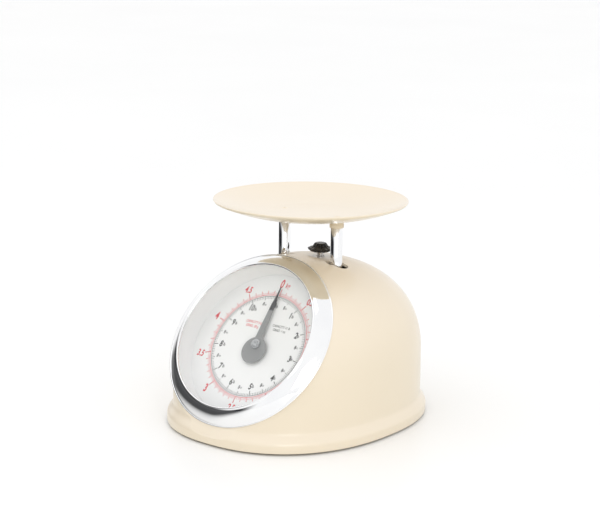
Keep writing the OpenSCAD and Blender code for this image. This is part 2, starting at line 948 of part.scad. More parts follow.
module dish() {
    steps = 14;
    radii = [for (k = [0 : steps]) dish_flat_r + (dish_r - 1 - dish_flat_r) * k / steps];
    color("wheat")
    difference() {
        rotate_extrude($fn = 128)
            polygon(concat(
                [[0, dish_low_z]],
                [for (r = radii) [r + dish_t * 0.15, dish_low_z + dish_rise(r)]],
                [[dish_r, dish_rim_z - 1.4], [dish_r, dish_rim_z - 0.5], [dish_r - 0.6, dish_rim_z]],
                [for (k = [steps : -1 : 0])
                    let (r = radii[k])
                    [r - dish_t * 0.25, min(dish_rim_z, dish_floor_z + dish_rise(r - dish_t * 0.25))]],
                [[0, dish_floor_z]]
            ));
        at_posts() {
            disc(dish_screw_r + 0.2, dish_low_z - through, dish_t + 2 * through);
            disc(dish_screw_head_r + 0.2, dish_floor_z - dish_screw_head_h, dish_screw_head_h + through);
        }
    }
}

module dish_screws() {
    color("dimgray")
    at_posts() {
        disc(dish_screw_head_r, dish_floor_z - dish_screw_head_h, dish_screw_head_h);
        disc(dish_screw_r, dish_floor_z - dish_screw_l, dish_screw_l - dish_screw_head_h + eps);
    }
}

// Lever along -Y from its fixed pivot, with an open play slot for the carriage pin
module lever(pivot_z) {
    half_h = 4;
    play = 0.6;
    slot_r = pin_r + slide_clear;
    reach = lever_x + lever_t / 2;
    color("silver")
    translate([0, pivot_y, pivot_z])
        rotate([-lever_swing, 0, 0])
            difference() {
                union() {
                    for (x = [-lever_x, lever_x]) {
                        x_bar(half_h + 0.5, x - lever_t / 2, x + lever_t / 2, 0, 0);
                        x_bar(half_h, x - lever_t / 2, x + lever_t / 2, -lever_l, 0);
                        box([x - lever_t / 2, -lever_l, -half_h], [x + lever_t / 2, 0, half_h]);
                    }
                    box([-lever_x, -lever_l * 0.6, -half_h], [lever_x, -lever_l * 0.4, -half_h + 2.5]);
                }
                x_bar(pin_r + run_clear, -reach - through, reach + through, 0, 0);
                for (y = [-play, play])
                    x_bar(slot_r, -reach - through, reach + through, -lever_l + y, 0);
                box([-reach - through, -lever_l - play, -slot_r], [reach + through, -lever_l + play, slot_r]);
            }
}

module upper_lever() {
    lever(high_pivot_z);
}

module lower_lever() {
    lever(low_pivot_z);
}

module carriage_pins() {
    reach = lever_x + lever_t / 2 + 1;
    color("silver")
    for (z = [low_pin_z, high_pin_z]) {
        x_bar(pin_r, -reach, reach, carriage_y, z);
        for (x = [-reach - 1, reach])
            x_bar(pin_r + pin_head, x, x + 1, carriage_y, z);
    }
}

module lever_pins() {
    color("silver")
    for (z = [low_pivot_z, high_pivot_z]) {
        x_bar(pin_r, -frame_x - eps, frame_x + eps, pivot_y, z);
        for (x = [-frame_x - 1, frame_x])
            x_bar(pin_r + pin_head, x, x + 1, pivot_y, z);
    }
}

module at_frame_screws() {
    for (side = [-1, 1])
        for (y = [-frame_half_y * 0.5, frame_half_y * 0.5])
            translate([side * (frame_x + frame_flange / 2), pivot_y + y, 0])
                children();
}

module frame() {
    color("silver")
    difference() {
        union() {
            for (side = [0, 1])
                mirror([side, 0, 0]) {
                    box([frame_x - frame_t, pivot_y - frame_half_y, plate_top_z],
                        [frame_x, pivot_y + frame_half_y, frame_top_z]);
                    box([frame_x - frame_t, pivot_y - frame_half_y, plate_top_z],
                        [frame_x + frame_flange, pivot_y + frame_half_y, plate_top_z + frame_t]);
                }
            box([-frame_x, pivot_y + frame_half_y - frame_t, low_pivot_z + 8],
                [frame_x, pivot_y + frame_half_y, high_pivot_z - 8]);
        }
        for (z = [low_pivot_z, high_pivot_z])
            x_bar(pin_r, -frame_x - through, frame_x + through, pivot_y, z);
        at_frame_screws()
            disc(frame_screw_r + 0.2, plate_top_z - through, frame_t + 2 * through);
    }
}

module frame_screws() {
    color("silver")
    at_frame_screws() {
        disc(frame_screw_head_r, plate_top_z + frame_t, frame_screw_head_h);
        disc(frame_screw_r, plate_top_z - base_t + 0.3, base_t + frame_t - 0.3 + eps);
    }
}

module stop_bumper() {
    color("dimgray")
        disc(bumper_r, plate_top_z, bumper_top_z - plate_top_z);
}

// Path of the spring's wire: hook, coil drawn in at both ends, hook
function spring_path() =
    let (n = coil_turns * turn_steps,
         low = [for (a = [45 : hook_step : 345])
                   [-hook_r * sin(a), 0, lug_z + hook_r + hook_r * cos(a)]],
         high = [for (a = [345 : -hook_step : 45])
                   [-hook_r * sin(a), 0, hook_z - hook_r - hook_r * cos(a)]],
         coil = [for (k = [1 : n - 1])
                   let (u = k / n, grow = smooth(min(k, n - k) / turn_steps + 0.18))
                   [coil_r * grow * cos(360 * k / turn_steps),
                    coil_r * grow * sin(360 * k / turn_steps),
                    coil_low_z + (coil_high_z - coil_low_z) * u]])
    concat(low, coil, high);

function unit(v) = v / norm(v);

// A round wire along a path, its section carried along without twist
module wire(path, r, sides) {
    n = len(path);
    along = [for (i = [0 : n - 1]) unit(path[min(i + 1, n - 1)] - path[max(i - 1, 0)])];
    across = [for (i = 0, v = [0, 1, 0]; i < n; i = i + 1,
                   v = i < n ? unit(v - (v * along[i]) * along[i]) : v) v];
    points = [
        for (i = [0 : n - 1], k = [0 : sides - 1])
            let (a = unit(across[i] - (across[i] * along[i]) * along[i]), b = cross(along[i], a))
            path[i] + r * (a * cos(360 * k / sides) + b * sin(360 * k / sides))
    ];
    skin = [
        for (i = [0 : n - 2], k = [0 : sides - 1])
            let (a = i * sides + k, b = i * sides + (k + 1) % sides)
            each [[a, a + sides, b + sides], [a, b + sides, b]]
    ];
    start = [for (k = [0 : sides - 1]) k];
    end = [for (k = [sides - 1 : -1 : 0]) (n - 1) * sides + k];
    polyhedron(points, concat([start], skin, [end]), convexity = 10);
}

module main_spring() {
    color("silver")
    translate([0, knob_y, 0])
        wire(spring_path(), wire_r, wire_sides);
}

module spring_hanger() {
    nut_low_z = hanger_z - hanger_half_h;
    color("goldenrod")
    translate([0, knob_y, 0])
        difference() {
            union() {
                box([-hanger_half, -hanger_half, nut_low_z],
                    [hanger_half, hanger_half, hanger_z + hanger_half_h]);
                box([-lug_t / 2, -hanger_half, hook_z - 5], [lug_t / 2, hanger_half, nut_low_z + eps]);
            }
            disc(zero_screw_r + run_clear, nut_low_z, 2 * hanger_half_h + through);
            x_bar(hook_hole_r, -lug_t, lug_t, 0, hook_z);
        }
}

module zero_knob() {
    hub_low_r = knob_r - 2.6;
    hub_top_r = knob_r * 0.42;
    color("dimgray")
    translate([0, knob_y, knob_z])
        difference() {
            union() {
                disc(knob_r - knob_lobe_r + 0.6, 0, knob_flange_h);
                for (k = [0 : knob_lobes - 1])
                    rotate([0, 0, 360 * k / knob_lobes])
                        translate([knob_r - knob_lobe_r, 0, 0])
                            cylinder(r = knob_lobe_r, h = knob_flange_h);
                translate([0, 0, knob_flange_h - eps])
                    cylinder(r1 = hub_low_r, r2 = hub_top_r, h = knob_h - knob_flange_h + eps);
            }
            disc(zero_screw_r, -through, knob_h - knob_cover + through);
        }
}

module zero_screw() {
    color("silver")
    translate([0, knob_y, 0])
        disc(zero_screw_r, zero_screw_low_z, knob_z + knob_h - knob_cover - zero_screw_low_z);
}

module zero_clip() {
    color("silver")
    translate([0, knob_y, 0])
        ring(clip_r, zero_screw_r, boss_low_z - slide_clear - clip_t, clip_t);
}

// Moves a piece from the dish's axis to the middle of the base
module on_base() {
    translate([0, body_shift, 0])
        children();
}

on_base() body_shell();
on_base() base_plate();
on_base() rubber_feet();
on_base() base_screws();
on_base() bezel_ring();
on_base() dial_lens();
on_base() dial_drum();
on_base() drum_screws();
on_base() dial_plate();
on_base() pointer();
on_base() pointer_cap();
on_base() pointer_shaft();
on_base() pinion();
on_base() front_bush();
on_base() rear_bush();
on_base() gear_bracket();
on_base() rack_guide();
on_base() bracket_screws();
on_base() rack();
on_base() drive_arm();
on_base() arm_rivets();
on_base() drive_pin();
on_base() carriage();
on_base() post_left();
on_base() post_right();
on_base() post_caps();
on_base() post_screws();
on_base() dish();
on_base() dish_screws();
on_base() upper_lever();
on_base() lower_lever();
on_base() carriage_pins();
on_base() lever_pins();
on_base() frame();
on_base() frame_screws();
on_base() stop_bumper();
on_base() main_spring();
on_base() spring_hanger();
on_base() zero_knob();
on_base() zero_screw();
on_base() zero_clip();
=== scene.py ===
# %% [markdown]
# # A dial kitchen scale: the visible skin
#
# This lesson dresses the mechanical model of a spring-dial kitchen scale. The frame below is
# the engineering model: every part is already in its place and rides on a moving body. We keep
# the parts whose shape is right, give them a finish, and replace the ones that the eye looks
# at most with smoother, more detailed meshes.

# %% Load the engineering model
import json
import math

import bmesh
import bpy
from mathutils import Matrix, Vector


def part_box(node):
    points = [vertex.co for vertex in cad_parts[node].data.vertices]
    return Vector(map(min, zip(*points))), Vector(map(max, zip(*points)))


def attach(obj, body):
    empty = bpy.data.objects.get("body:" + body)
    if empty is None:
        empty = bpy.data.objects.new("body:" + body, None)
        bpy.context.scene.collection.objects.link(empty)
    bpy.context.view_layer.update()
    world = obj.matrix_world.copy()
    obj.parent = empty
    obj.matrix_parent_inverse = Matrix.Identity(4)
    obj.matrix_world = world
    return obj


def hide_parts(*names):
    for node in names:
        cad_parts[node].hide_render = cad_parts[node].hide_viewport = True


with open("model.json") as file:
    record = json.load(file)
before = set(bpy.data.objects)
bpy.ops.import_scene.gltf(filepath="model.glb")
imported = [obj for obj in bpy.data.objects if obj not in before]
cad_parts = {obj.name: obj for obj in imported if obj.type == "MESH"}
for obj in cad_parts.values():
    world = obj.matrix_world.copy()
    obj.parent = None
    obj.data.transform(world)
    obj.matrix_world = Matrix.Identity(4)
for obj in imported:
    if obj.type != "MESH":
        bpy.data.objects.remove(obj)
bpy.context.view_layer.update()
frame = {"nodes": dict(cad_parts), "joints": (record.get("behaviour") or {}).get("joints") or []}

# %% [markdown]
# Everything below is measured from the model itself.

# %% Landmarks of the scale
MM = 0.001
dish_low, dish_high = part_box("dish")
knob_low, knob_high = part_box("zero_knob")
post_low, post_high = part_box("post_right")

dial_hinge = next(j for j in frame["joints"] if j["name"] == "pointer_turn")
dial_centre = Vector(dial_hinge["pos_m"])
dial_out = -Vector(dial_hinge["axis"]).normalized()
dial_up = dial_out.cross(Vector((1, 0, 0))).normalized() * -1
if dial_up.z < 0:
    dial_up = -dial_up
dial_side = dial_up.cross(dial_out).normalized()
# columns: across the dial, up the dial, out of the dial
DIAL = Matrix((dial_side, dial_up, dial_out)).transposed().to_4x4()
DIAL.translation = dial_centre
post_centre = (post_low + post_high) / 2
print("dial centre", [round(v, 4) for v in dial_centre], "facing", [round(v, 3) for v in dial_out])

# %% [markdown]
# Three small tools do most of the work. `turned` spins an outline round an axis, as a lathe
# would. `soften` rounds every sharp edge a little, because no pressed or moulded edge is
# razor sharp and a rounded one catches the light. `make_piece` turns the result into an object
# that rides on the right body of the mechanism.

# %% Tools for turned and moulded pieces
def turned(outline, steps=96, closed=False):
    """Spins an outline of (radius, height) points, in millimetres, round the Z axis."""
    bm = bmesh.new()
    points = [bm.verts.new((r * MM, 0, z * MM)) for r, z in outline]
    edges = [bm.edges.new(pair) for pair in zip(points, points[1:])]
    if closed:
        edges.append(bm.edges.new((points[-1], points[0])))
    bmesh.ops.spin(bm, geom=points + edges, cent=(0, 0, 0), axis=(0, 0, 1), dvec=(0, 0, 0),
                   angle=math.tau, steps=steps, use_merge=True)
    bmesh.ops.remove_doubles(bm, verts=bm.verts, dist=1e-6)
    bmesh.ops.dissolve_degenerate(bm, edges=bm.edges, dist=1e-7)
    bmesh.ops.recalc_face_normals(bm, faces=bm.faces)
    return bm


def soften(bm, width, segments=2, angle=35):
    """Rounds the edges that are sharper than the angle; the width is in millimetres."""
    limit = math.radians(angle)
    edges = [e for e in bm.edges if len(e.link_faces) == 2 and e.calc_face_angle() > limit]
    bmesh.ops.bevel(bm, geom=edges, offset=width * MM, offset_type="OFFSET", segments=segments,
                    affect="EDGES", profile=0.5, material=-1, clamp_overlap=True)
    return bm


def block(low, high):
    """A block between two corners, in millimetres."""
    bm = bmesh.new()
    size = [(b - a) * MM for a, b in zip(low, high)]
    centre = [(a + b) / 2 * MM for a, b in zip(low, high)]
    bmesh.ops.create_cube(bm, size=1, matrix=Matrix.Translation(centre) @ Matrix.Diagonal((*size, 1)))
    return bm


def join(target, *others):
    """Adds other mesh builders to the first one."""
    for other in others:
        mesh = bpy.data.meshes.new("joined")
        other.to_mesh(mesh)
        other.free()
        target.from_mesh(mesh)
        bpy.data.meshes.remove(mesh)
    return target


def placed(bm, matrix):
    bmesh.ops.transform(bm, matrix=matrix, verts=bm.verts)
    return bm


def grown_verts(result):
    """The vertices that an extrusion made."""
    return [v for v in result["geom"] if isinstance(v, bmesh.types.BMVert)]


def make_piece(name, bm, body, material, node=None, sharp=32, recalc=True):
    """Writes the mesh, gives it its finish and lets it ride on a body."""
    if recalc:
        bmesh.ops.recalc_face_normals(bm, faces=bm.faces)
    mesh = bpy.data.meshes.new(name)
    bm.to_mesh(mesh)
    bm.free()
    mesh.shade_smooth()
    mesh.set_sharp_from_angle(angle=math.radians(sharp))
    mesh.materials.append(material)
    piece = bpy.data.objects.new(name, mesh)
    bpy.context.scene.collection.objects.link(piece)
    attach(piece, body)
    if node:
        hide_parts(node)
    print(name, "faces", len(mesh.polygons), "size mm", [round(v / MM, 1) for v in piece.dimensions])
    return piece


# %% [markdown]
# ## Finishes
#
# Every finish is a Principled shader whose colour, roughness and bump vary a little over the
# surface. Three shared effects are built once as node groups: `Mottle` gives a slow drift
# between two values, `Grain` gives a fine bump, and `Hairlines` gives long thin scratches.

# %% Shared effect: a slow drift over the surface
def node_group(name, inputs, outputs):
    group = bpy.data.node_groups.new(name, "ShaderNodeTree")
    for label, kind, value in inputs:
        socket = group.interface.new_socket(label, in_out="INPUT", socket_type=kind)
        socket.default_value = value
    for label, kind in outputs:
        group.interface.new_socket(label, in_out="OUTPUT", socket_type=kind)
    return group, group.nodes.new("NodeGroupInput"), group.nodes.new("NodeGroupOutput")


def link(tree, source, target):
    tree.links.new(source, target)


def set_math(node, operation, value=None):
    node.operation = operation
    if value is not None:
        node.inputs[1].default_value = value
    return node


mottle, m_in, m_out = node_group(
    "Mottle",
    [("Scale", "NodeSocketFloat", 30.0), ("Low", "NodeSocketFloat", 0.0), ("High", "NodeSocketFloat", 1.0)],
    [("Value", "NodeSocketFloat")])
place = mottle.nodes.new("ShaderNodeTexCoord")
cloud = mottle.nodes.new("ShaderNodeTexNoise")
cloud.inputs["Detail"].default_value = 4.0
cloud.inputs["Roughness"].default_value = 0.55
spread = mottle.nodes.new("ShaderNodeMapRange")
spread.inputs["From Min"].default_value = 0.34
spread.inputs["From Max"].default_value = 0.66
link(mottle, place.outputs["Object"], cloud.inputs["Vector"])
link(mottle, m_in.outputs["Scale"], cloud.inputs["Scale"])
link(mottle, cloud.outputs["Fac"], spread.inputs["Value"])
link(mottle, m_in.outputs["Low"], spread.inputs["To Min"])
link(mottle, m_in.outputs["High"], spread.inputs["To Max"])
link(mottle, spread.outputs["Result"], m_out.inputs["Value"])
print("group", mottle.name)

# %% Shared effect: a fine bump
grain, g_in, g_out = node_group(
    "Grain",
    [("Scale", "NodeSocketFloat", 800.0), ("Strength", "NodeSocketFloat", 0.1),
     ("Depth", "NodeSocketFloat", 0.0001)],
    [("Normal", "NodeSocketVector"), ("Height", "NodeSocketFloat")])
place = grain.nodes.new("ShaderNodeTexCoord")
grit = grain.nodes.new("ShaderNodeTexNoise")
grit.inputs["Detail"].default_value = 2.0
bump = grain.nodes.new("ShaderNodeBump")
link(grain, place.outputs["Object"], grit.inputs["Vector"])
link(grain, g_in.outputs["Scale"], grit.inputs["Scale"])
link(grain, grit.outputs["Fac"], bump.inputs["Height"])
link(grain, g_in.outputs["Strength"], bump.inputs["Strength"])
link(grain, g_in.outputs["Depth"], bump.inputs["Distance"])
link(grain, bump.outputs["Normal"], g_out.inputs["Normal"])
link(grain, grit.outputs["Fac"], g_out.inputs["Height"])
print("group", grain.name)

# %% Shared effect: long thin scratches
hairlines, h_in, h_out = node_group(
    "Hairlines",
    [("Stretch", "NodeSocketVector", (40.0, 900.0, 900.0)), ("Amount", "NodeSocketFloat", 0.2)],
    [("Mask", "NodeSocketFloat")])
place = hairlines.nodes.new("ShaderNodeTexCoord")
stretch = hairlines.nodes.new("ShaderNodeVectorMath")
stretch.operation = "MULTIPLY"
streak = hairlines.nodes.new("ShaderNodeTexNoise")
streak.inputs["Scale"].default_value = 1.0
streak.inputs["Detail"].default_value = 3.0
thin = hairlines.nodes.new("ShaderNodeMapRange")
thin.inputs["From Min"].default_value = 0.56
thin.inputs["From Max"].default_value = 0.7
link(hairlines, place.outputs["Object"], stretch.inputs[0])
link(hairlines, h_in.outputs["Stretch"], stretch.inputs[1])
link(hairlines, stretch.outputs["Vector"], streak.inputs["Vector"])
link(hairlines, streak.outputs["Fac"], thin.inputs["Value"])
link(hairlines, h_in.outputs["Amount"], thin.inputs["To Max"])
link(hairlines, thin.outputs["Result"], h_out.inputs["Mask"])
print("group", hairlines.name)

# %% [markdown]
# `finish` wires one material: two close colours drifting into each other, a roughness that
# drifts as well, fine scratches that make it a little rougher, and the grain as a bump. Each
# real finish is then one call with its own colours and scales.

# %% A material from its maker's numbers
def add_group(tree, group, **values):
    node = tree.nodes.new("ShaderNodeGroup")
    node.node_tree = group
    for label, value in values.items():
        node.inputs[label].default_value = value
    return node


def finish(name, colours, drift, rough, grain_scale, grain_strength, depth=0.00005, metallic=0.0,
           scratch=0.0, stretch=(60.0, 1400.0, 1400.0), coat=0.0, coat_rough=0.05, specular=0.5, ior=1.5):
    material = bpy.data.materials.new(name)
    material.use_nodes = True
    tree = material.node_tree
    shader = tree.nodes["Principled BSDF"]
    shader.inputs["Metallic"].default_value = metallic
    shader.inputs["Coat Weight"].default_value = coat
    shader.inputs["Coat Roughness"].default_value = coat_rough
    shader.inputs["Specular IOR Level"].default_value = specular
    shader.inputs["IOR"].default_value = ior
    tone = add_group(tree, mottle, Scale=drift, Low=0.0, High=1.0)
    mix = tree.nodes.new("ShaderNodeMix")
    mix.data_type = "RGBA"
    mix.inputs[6].default_value = (*colours[0], 1)
    mix.inputs[7].default_value = (*colours[1], 1)
    link(tree, tone.outputs["Value"], mix.inputs[0])
    link(tree, mix.outputs[2], shader.inputs["Base Color"])
    sheen = add_group(tree, mottle, Scale=drift * 2.7, Low=rough[0], High=rough[1])
    roughness = sheen.outputs["Value"]
    if scratch:
        lines = add_group(tree, hairlines, Stretch=stretch, Amount=scratch)
        total = set_math(tree.nodes.new("ShaderNodeMath"), "ADD")
        link(tree, roughness, total.inputs[0])
        link(tree, lines.outputs["Mask"], total.inputs[1])
        roughness = total.outputs[0]
    link(tree, roughness, shader.inputs["Roughness"])
    fine = add_group(tree, grain, Scale=grain_scale, Strength=grain_strength, Depth=depth)
    link(tree, fine.outputs["Normal"], shader.inputs["Normal"])
    return material


# %% [markdown]
# The body and the dish are pressed steel with a thick gloss enamel. Enamel is not perfectly
# flat: under a lamp it shows a very faint ripple a few millimetres across, and the
# cream drifts slightly towards yellow.

# %% Enamels and plastics
cream_enamel = finish("cream_enamel", [(0.828, 0.732, 0.596), (0.842, 0.748, 0.616)], 9.0, (0.30, 0.33),
                      420.0, 0.05, depth=0.00003, coat=0.35, coat_rough=0.10)
cream_moulded = finish("cream_moulded", [(0.78, 0.68, 0.54), (0.82, 0.72, 0.58)], 25.0, (0.42, 0.52),
                       2600.0, 0.35, depth=0.00006)
dial_enamel = finish("dial_enamel", [(0.87, 0.873, 0.875), (0.89, 0.89, 0.89)], 14.0, (0.36, 0.42),
                     1200.0, 0.08, depth=0.00003)
drum_white = finish("drum_white", [(0.80, 0.805, 0.81), (0.85, 0.85, 0.855)], 16.0, (0.30, 0.36),
                    1500.0, 0.15)
knob_black = finish("knob_black", [(0.006, 0.006, 0.007), (0.014, 0.014, 0.015)], 60.0, (0.22, 0.38),
                    2200.0, 0.25, depth=0.00005, scratch=0.15)
guide_black = finish("guide_black", [(0.025, 0.025, 0.027), (0.04, 0.04, 0.042)], 60.0, (0.45, 0.6),
                     2200.0, 0.4)
soft_rubber = finish("soft_rubber", [(0.022, 0.021, 0.020), (0.038, 0.036, 0.034)], 80.0, (0.72, 0.88),
                     1800.0, 0.6, depth=0.0001)
red_ink = finish("red_ink", [(0.72, 0.012, 0.03), (0.62, 0.010, 0.025)], 300.0, (0.4, 0.5), 3000.0, 0.1)
black_ink = finish("black_ink", [(0.012, 0.012, 0.014), (0.03, 0.03, 0.032)], 300.0, (0.4, 0.5), 3000.0, 0.1)
print("plastics and enamels ready")

# %% [markdown]
# Chrome shows what is round it, so its detail is in the roughness: faint wiping marks and a
# few hairlines that catch the light. Plain steel, brass and die-cast zinc are rougher, and
# their hairlines follow the way each piece was cut.

# %% Metals
chrome = finish("chrome", [(0.88, 0.885, 0.90), (0.92, 0.925, 0.93)], 22.0, (0.025, 0.07), 500.0, 0.02,
                depth=0.00003, metallic=1.0, scratch=0.05, stretch=(90.0, 1600.0, 1600.0))
turned_steel = finish("turned_steel", [(0.56, 0.56, 0.57), (0.66, 0.66, 0.67)], 120.0, (0.22, 0.34), 2500.0,
                      0.15, metallic=1.0, scratch=0.25, stretch=(300.0, 300.0, 6000.0))
sheet_steel = finish("sheet_steel", [(0.50, 0.51, 0.53), (0.60, 0.61, 0.62)], 70.0, (0.32, 0.46), 1500.0,
                     0.2, metallic=1.0, scratch=0.2, stretch=(50.0, 2500.0, 2500.0))
cast_zinc = finish("cast_zinc", [(0.34, 0.35, 0.37), (0.42, 0.43, 0.45)], 90.0, (0.45, 0.62), 900.0,
                   0.5, depth=0.0002, metallic=0.9)
turned_brass = finish("turned_brass", [(0.74, 0.52, 0.20), (0.82, 0.62, 0.28)], 150.0, (0.2, 0.34), 2500.0,
                      0.15, metallic=1.0, scratch=0.2, stretch=(300.0, 300.0, 6000.0))
boss_metal = finish("boss_metal", [(0.40, 0.41, 0.42), (0.50, 0.51, 0.52)], 200.0, (0.2, 0.3), 3000.0,
                    0.1, metallic=0.85, scratch=0.1)
print("metals ready")

# %% [markdown]
# The clear cover is glass: plain transmission, nothing painted. For shadow and diffuse rays it
# is simply open, so that soft light reaches the dial behind it without grain.

# %% Clear cover
clear_glass = bpy.data.materials.new("clear_glass")
clear_glass.use_nodes = True
tree = clear_glass.node_tree
shader = tree.nodes["Principled BSDF"]
shader.inputs["Base Color"].default_value = (0.985, 0.992, 0.99, 1)
shader.inputs["Transmission Weight"].default_value = 1.0
shader.inputs["IOR"].default_value = 1.45
smear = add_group(tree, mottle, Scale=40.0, Low=0.0, High=0.01)
link(tree, smear.outputs["Value"], shader.inputs["Roughness"])
ripple = add_group(tree, grain, Scale=60.0, Strength=0.01, Depth=0.00005)
link(tree, ripple.outputs["Normal"], shader.inputs["Normal"])
path = tree.nodes.new("ShaderNodeLightPath")
soft_light = set_math(tree.nodes.new("ShaderNodeMath"), "MAXIMUM")
open_way = tree.nodes.new("ShaderNodeBsdfTransparent")
cover = tree.nodes.new("ShaderNodeMixShader")
link(tree, path.outputs["Is Shadow Ray"], soft_light.inputs[0])
link(tree, path.outputs["Is Diffuse Ray"], soft_light.inputs[1])
link(tree, soft_light.outputs[0], cover.inputs["Fac"])
link(tree, shader.outputs[0], cover.inputs[1])
link(tree, open_way.outputs[0], cover.inputs[2])
link(tree, cover.outputs[0], tree.nodes["Material Output"].inputs["Surface"])
print("glass ready")

# %% [markdown]
# The needle is grey paint with a black tip, so its one material needs to know how far from the
# shaft a point is. Two Vector Math nodes measure object coordinates from the dial centre along
# the dial's up axis, and a step on that distance changes the colour.

# %% Needle paint
needle_paint = finish("needle_paint", [(0.22, 0.225, 0.23), (0.27, 0.275, 0.28)], 60.0, (0.34, 0.44),
                      1800.0, 0.2, depth=0.00004)
tree = needle_paint.node_tree
shader = tree.nodes["Principled BSDF"]
grey = shader.inputs["Base Color"].links[0].from_socket
place = tree.nodes.new("ShaderNodeTexCoord")
away = tree.nodes.new("ShaderNodeVectorMath")
away.operation = "SUBTRACT"
away.inputs[1].default_value = dial_centre
along = tree.nodes.new("ShaderNodeVectorMath")
along.operation = "DOT_PRODUCT"
along.inputs[1].default_value = dial_up
tip = tree.nodes.new("ShaderNodeMapRange")
tip.inputs["From Min"].default_value = 33.5 * MM
tip.inputs["From Max"].default_value = 34.0 * MM
paint = tree.nodes.new("ShaderNodeMix")
paint.data_type = "RGBA"
paint.inputs[7].default_value = (0.012, 0.012, 0.013, 1)
link(tree, place.outputs["Object"], away.inputs[0])
link(tree, away.outputs["Vector"], along.inputs[0])
link(tree, along.outputs["Value"], tip.inputs["Value"])
link(tree, tip.outputs["Result"], paint.inputs[0])
link(tree, grey, paint.inputs[6])
link(tree, paint.outputs[2], shader.inputs["Base Color"])
print("needle paint ready")

# %% [markdown]
# ## The enamelled body
#
# The real body is one deep pressing: an oval wall with a flared skirt that closes into a dome,
# sliced at the front by the leaning plane of the dial. A sculpted sphere would never keep this
# even curvature, so the shape is lofted: a `create_circle` is pulled into a squared oval for
# each height, and `bridge_loops` skins the neighbours together.

# %% Sections of the body
HALF_WIDTH, HALF_DEPTH, PLAN_POWER = 100.0, 119.5, 2.28
DOME_TOP, DOME_START, DOME_POWER, DOME_LEAN = 146.0, 56.0, 2.25, 6.0
SKIRT_WIDTH, SKIRT_LOW, SKIRT_HIGH, SKIRT_GAP = 5.1, 8.0, 19.0, 2.0
WALL, WELL_FLOOR = 2.4, 142.5


def smooth_step(u):
    u = min(1.0, max(0.0, u))
    return u * u * (3 - 2 * u)


def wall_flare(z):
    flare = SKIRT_WIDTH * smooth_step((SKIRT_HIGH - z) / (SKIRT_HIGH - SKIRT_LOW))
    return flare - 0.3 * max(0.0, 1 - z / 4) ** 2 + 0.5 * max(0.0, 1 - z / DOME_START)


def oval_ring(bm, half_width, half_depth, y, z, segments):
    """One closed section: a circle pulled into a squared oval. Returns its edges."""
    ring = bmesh.ops.create_circle(bm, segments=segments, radius=1)["verts"]
    for v in ring:
        c, s = v.co.x, v.co.y
        v.co = Vector((math.copysign(abs(c) ** (2 / PLAN_POWER), c) * half_width * MM,
                       (math.copysign(abs(s) ** (2 / PLAN_POWER), s) * half_depth + y) * MM, z * MM))
    return list({e for v in ring for e in v.link_edges})


def lofted_body(inset, low_z, wall_steps, dome_steps, segments):
    """The closed dome, thinned all round by the inset."""
    bm = bmesh.new()
    heights = [low_z] + [z for z in (3.0, 4.0, 6.0, SKIRT_LOW) if z > low_z + 0.5]
    heights += [SKIRT_LOW + (SKIRT_HIGH - SKIRT_LOW) * k / 12 for k in range(1, 13)]
    heights += [SKIRT_HIGH + (DOME_START - SKIRT_HIGH) * k / wall_steps for k in range(1, wall_steps)]
    rings = []
    for z in heights:
        grow = wall_flare(z) - inset
        rings.append(oval_ring(bm, HALF_WIDTH + grow, HALF_DEPTH + grow, 0, z, segments))
    rise = DOME_TOP - inset - DOME_START
    for k in range(dome_steps + 1):
        turn = math.pi / 2 * min(k / dome_steps, 0.994)
        h, s = math.sin(turn) ** (2 / DOME_POWER), math.cos(turn) ** (2 / DOME_POWER)
        rings.append(oval_ring(bm, (HALF_WIDTH - inset) * s, (HALF_DEPTH - inset) * s,
                               DOME_LEAN * (1 - s), DOME_START + rise * h, segments))
    for lower, upper in zip(rings, rings[1:]):
        bmesh.ops.bridge_loops(bm, edges=lower + upper)
    bmesh.ops.contextual_create(bm, geom=rings[0])
    bmesh.ops.contextual_create(bm, geom=rings[-1])
    bmesh.ops.recalc_face_normals(bm, faces=bm.faces)
    return bm


# %% [markdown]
# The hollow inside, the shallow well at the crown and the two slots for the posts are carved
# with Boolean modifiers. Each cutter is a small closed mesh that is thrown away afterwards.

# %% Carving with closed cutters
def temporary(bm, name="cutter"):
    mesh = bpy.data.meshes.new(name)
    bmesh.ops.recalc_face_normals(bm, faces=bm.faces)
    bm.to_mesh(mesh)
    bm.free()
    obj = bpy.data.objects.new(name, mesh)
    bpy.context.scene.collection.objects.link(obj)
    return obj


def carve(bm, cutters, operation="DIFFERENCE"):
    """Applies one Boolean after another and returns the result as a new mesh builder."""
    target = temporary(bm, "carved")
    tools = [temporary(c) for c in cutters]
    for tool in tools:
        step = target.modifiers.new("cut", "BOOLEAN")
        step.operation, step.solver, step.object = operation, "MANIFOLD", tool
    bpy.context.view_layer.update()
    result = bpy.data.meshes.new_from_object(target.evaluated_get(bpy.context.evaluated_depsgraph_get()))
    out = bmesh.new()
    out.from_mesh(result)
    for obj in (target, *tools):
        mesh = obj.data
        bpy.data.objects.remove(obj)
        bpy.data.meshes.remove(mesh)
    bpy.data.meshes.remove(result)
    return out


def keep_behind_dial(bm, height):
    """Cuts away what lies in front of a plane this many millimetres out of the dial's seat."""
    plane = DIAL @ Vector((0, 0, height * MM))
    cut = bmesh.ops.bisect_plane(bm, geom=bm.verts[:] + bm.edges[:] + bm.faces[:], plane_co=plane,
                                 plane_no=dial_out, clear_outer=True)
    rim = [g for g in cut["geom_cut"] if isinstance(g, bmesh.types.BMEdge)]
    bmesh.ops.contextual_create(bm, geom=rim)
    return bm


# %% The well at the crown and the post slots
POST_X, POST_Y, POST_R = post_centre.x / MM, post_centre.y / MM, (post_high.x - post_low.x) / 2 / MM
SLOT_LENGTH, SLOT_WIDTH = 24.0, 2 * (POST_R + 1.5)
WELL_RIM = SLOT_WIDTH / 2 + 2.5


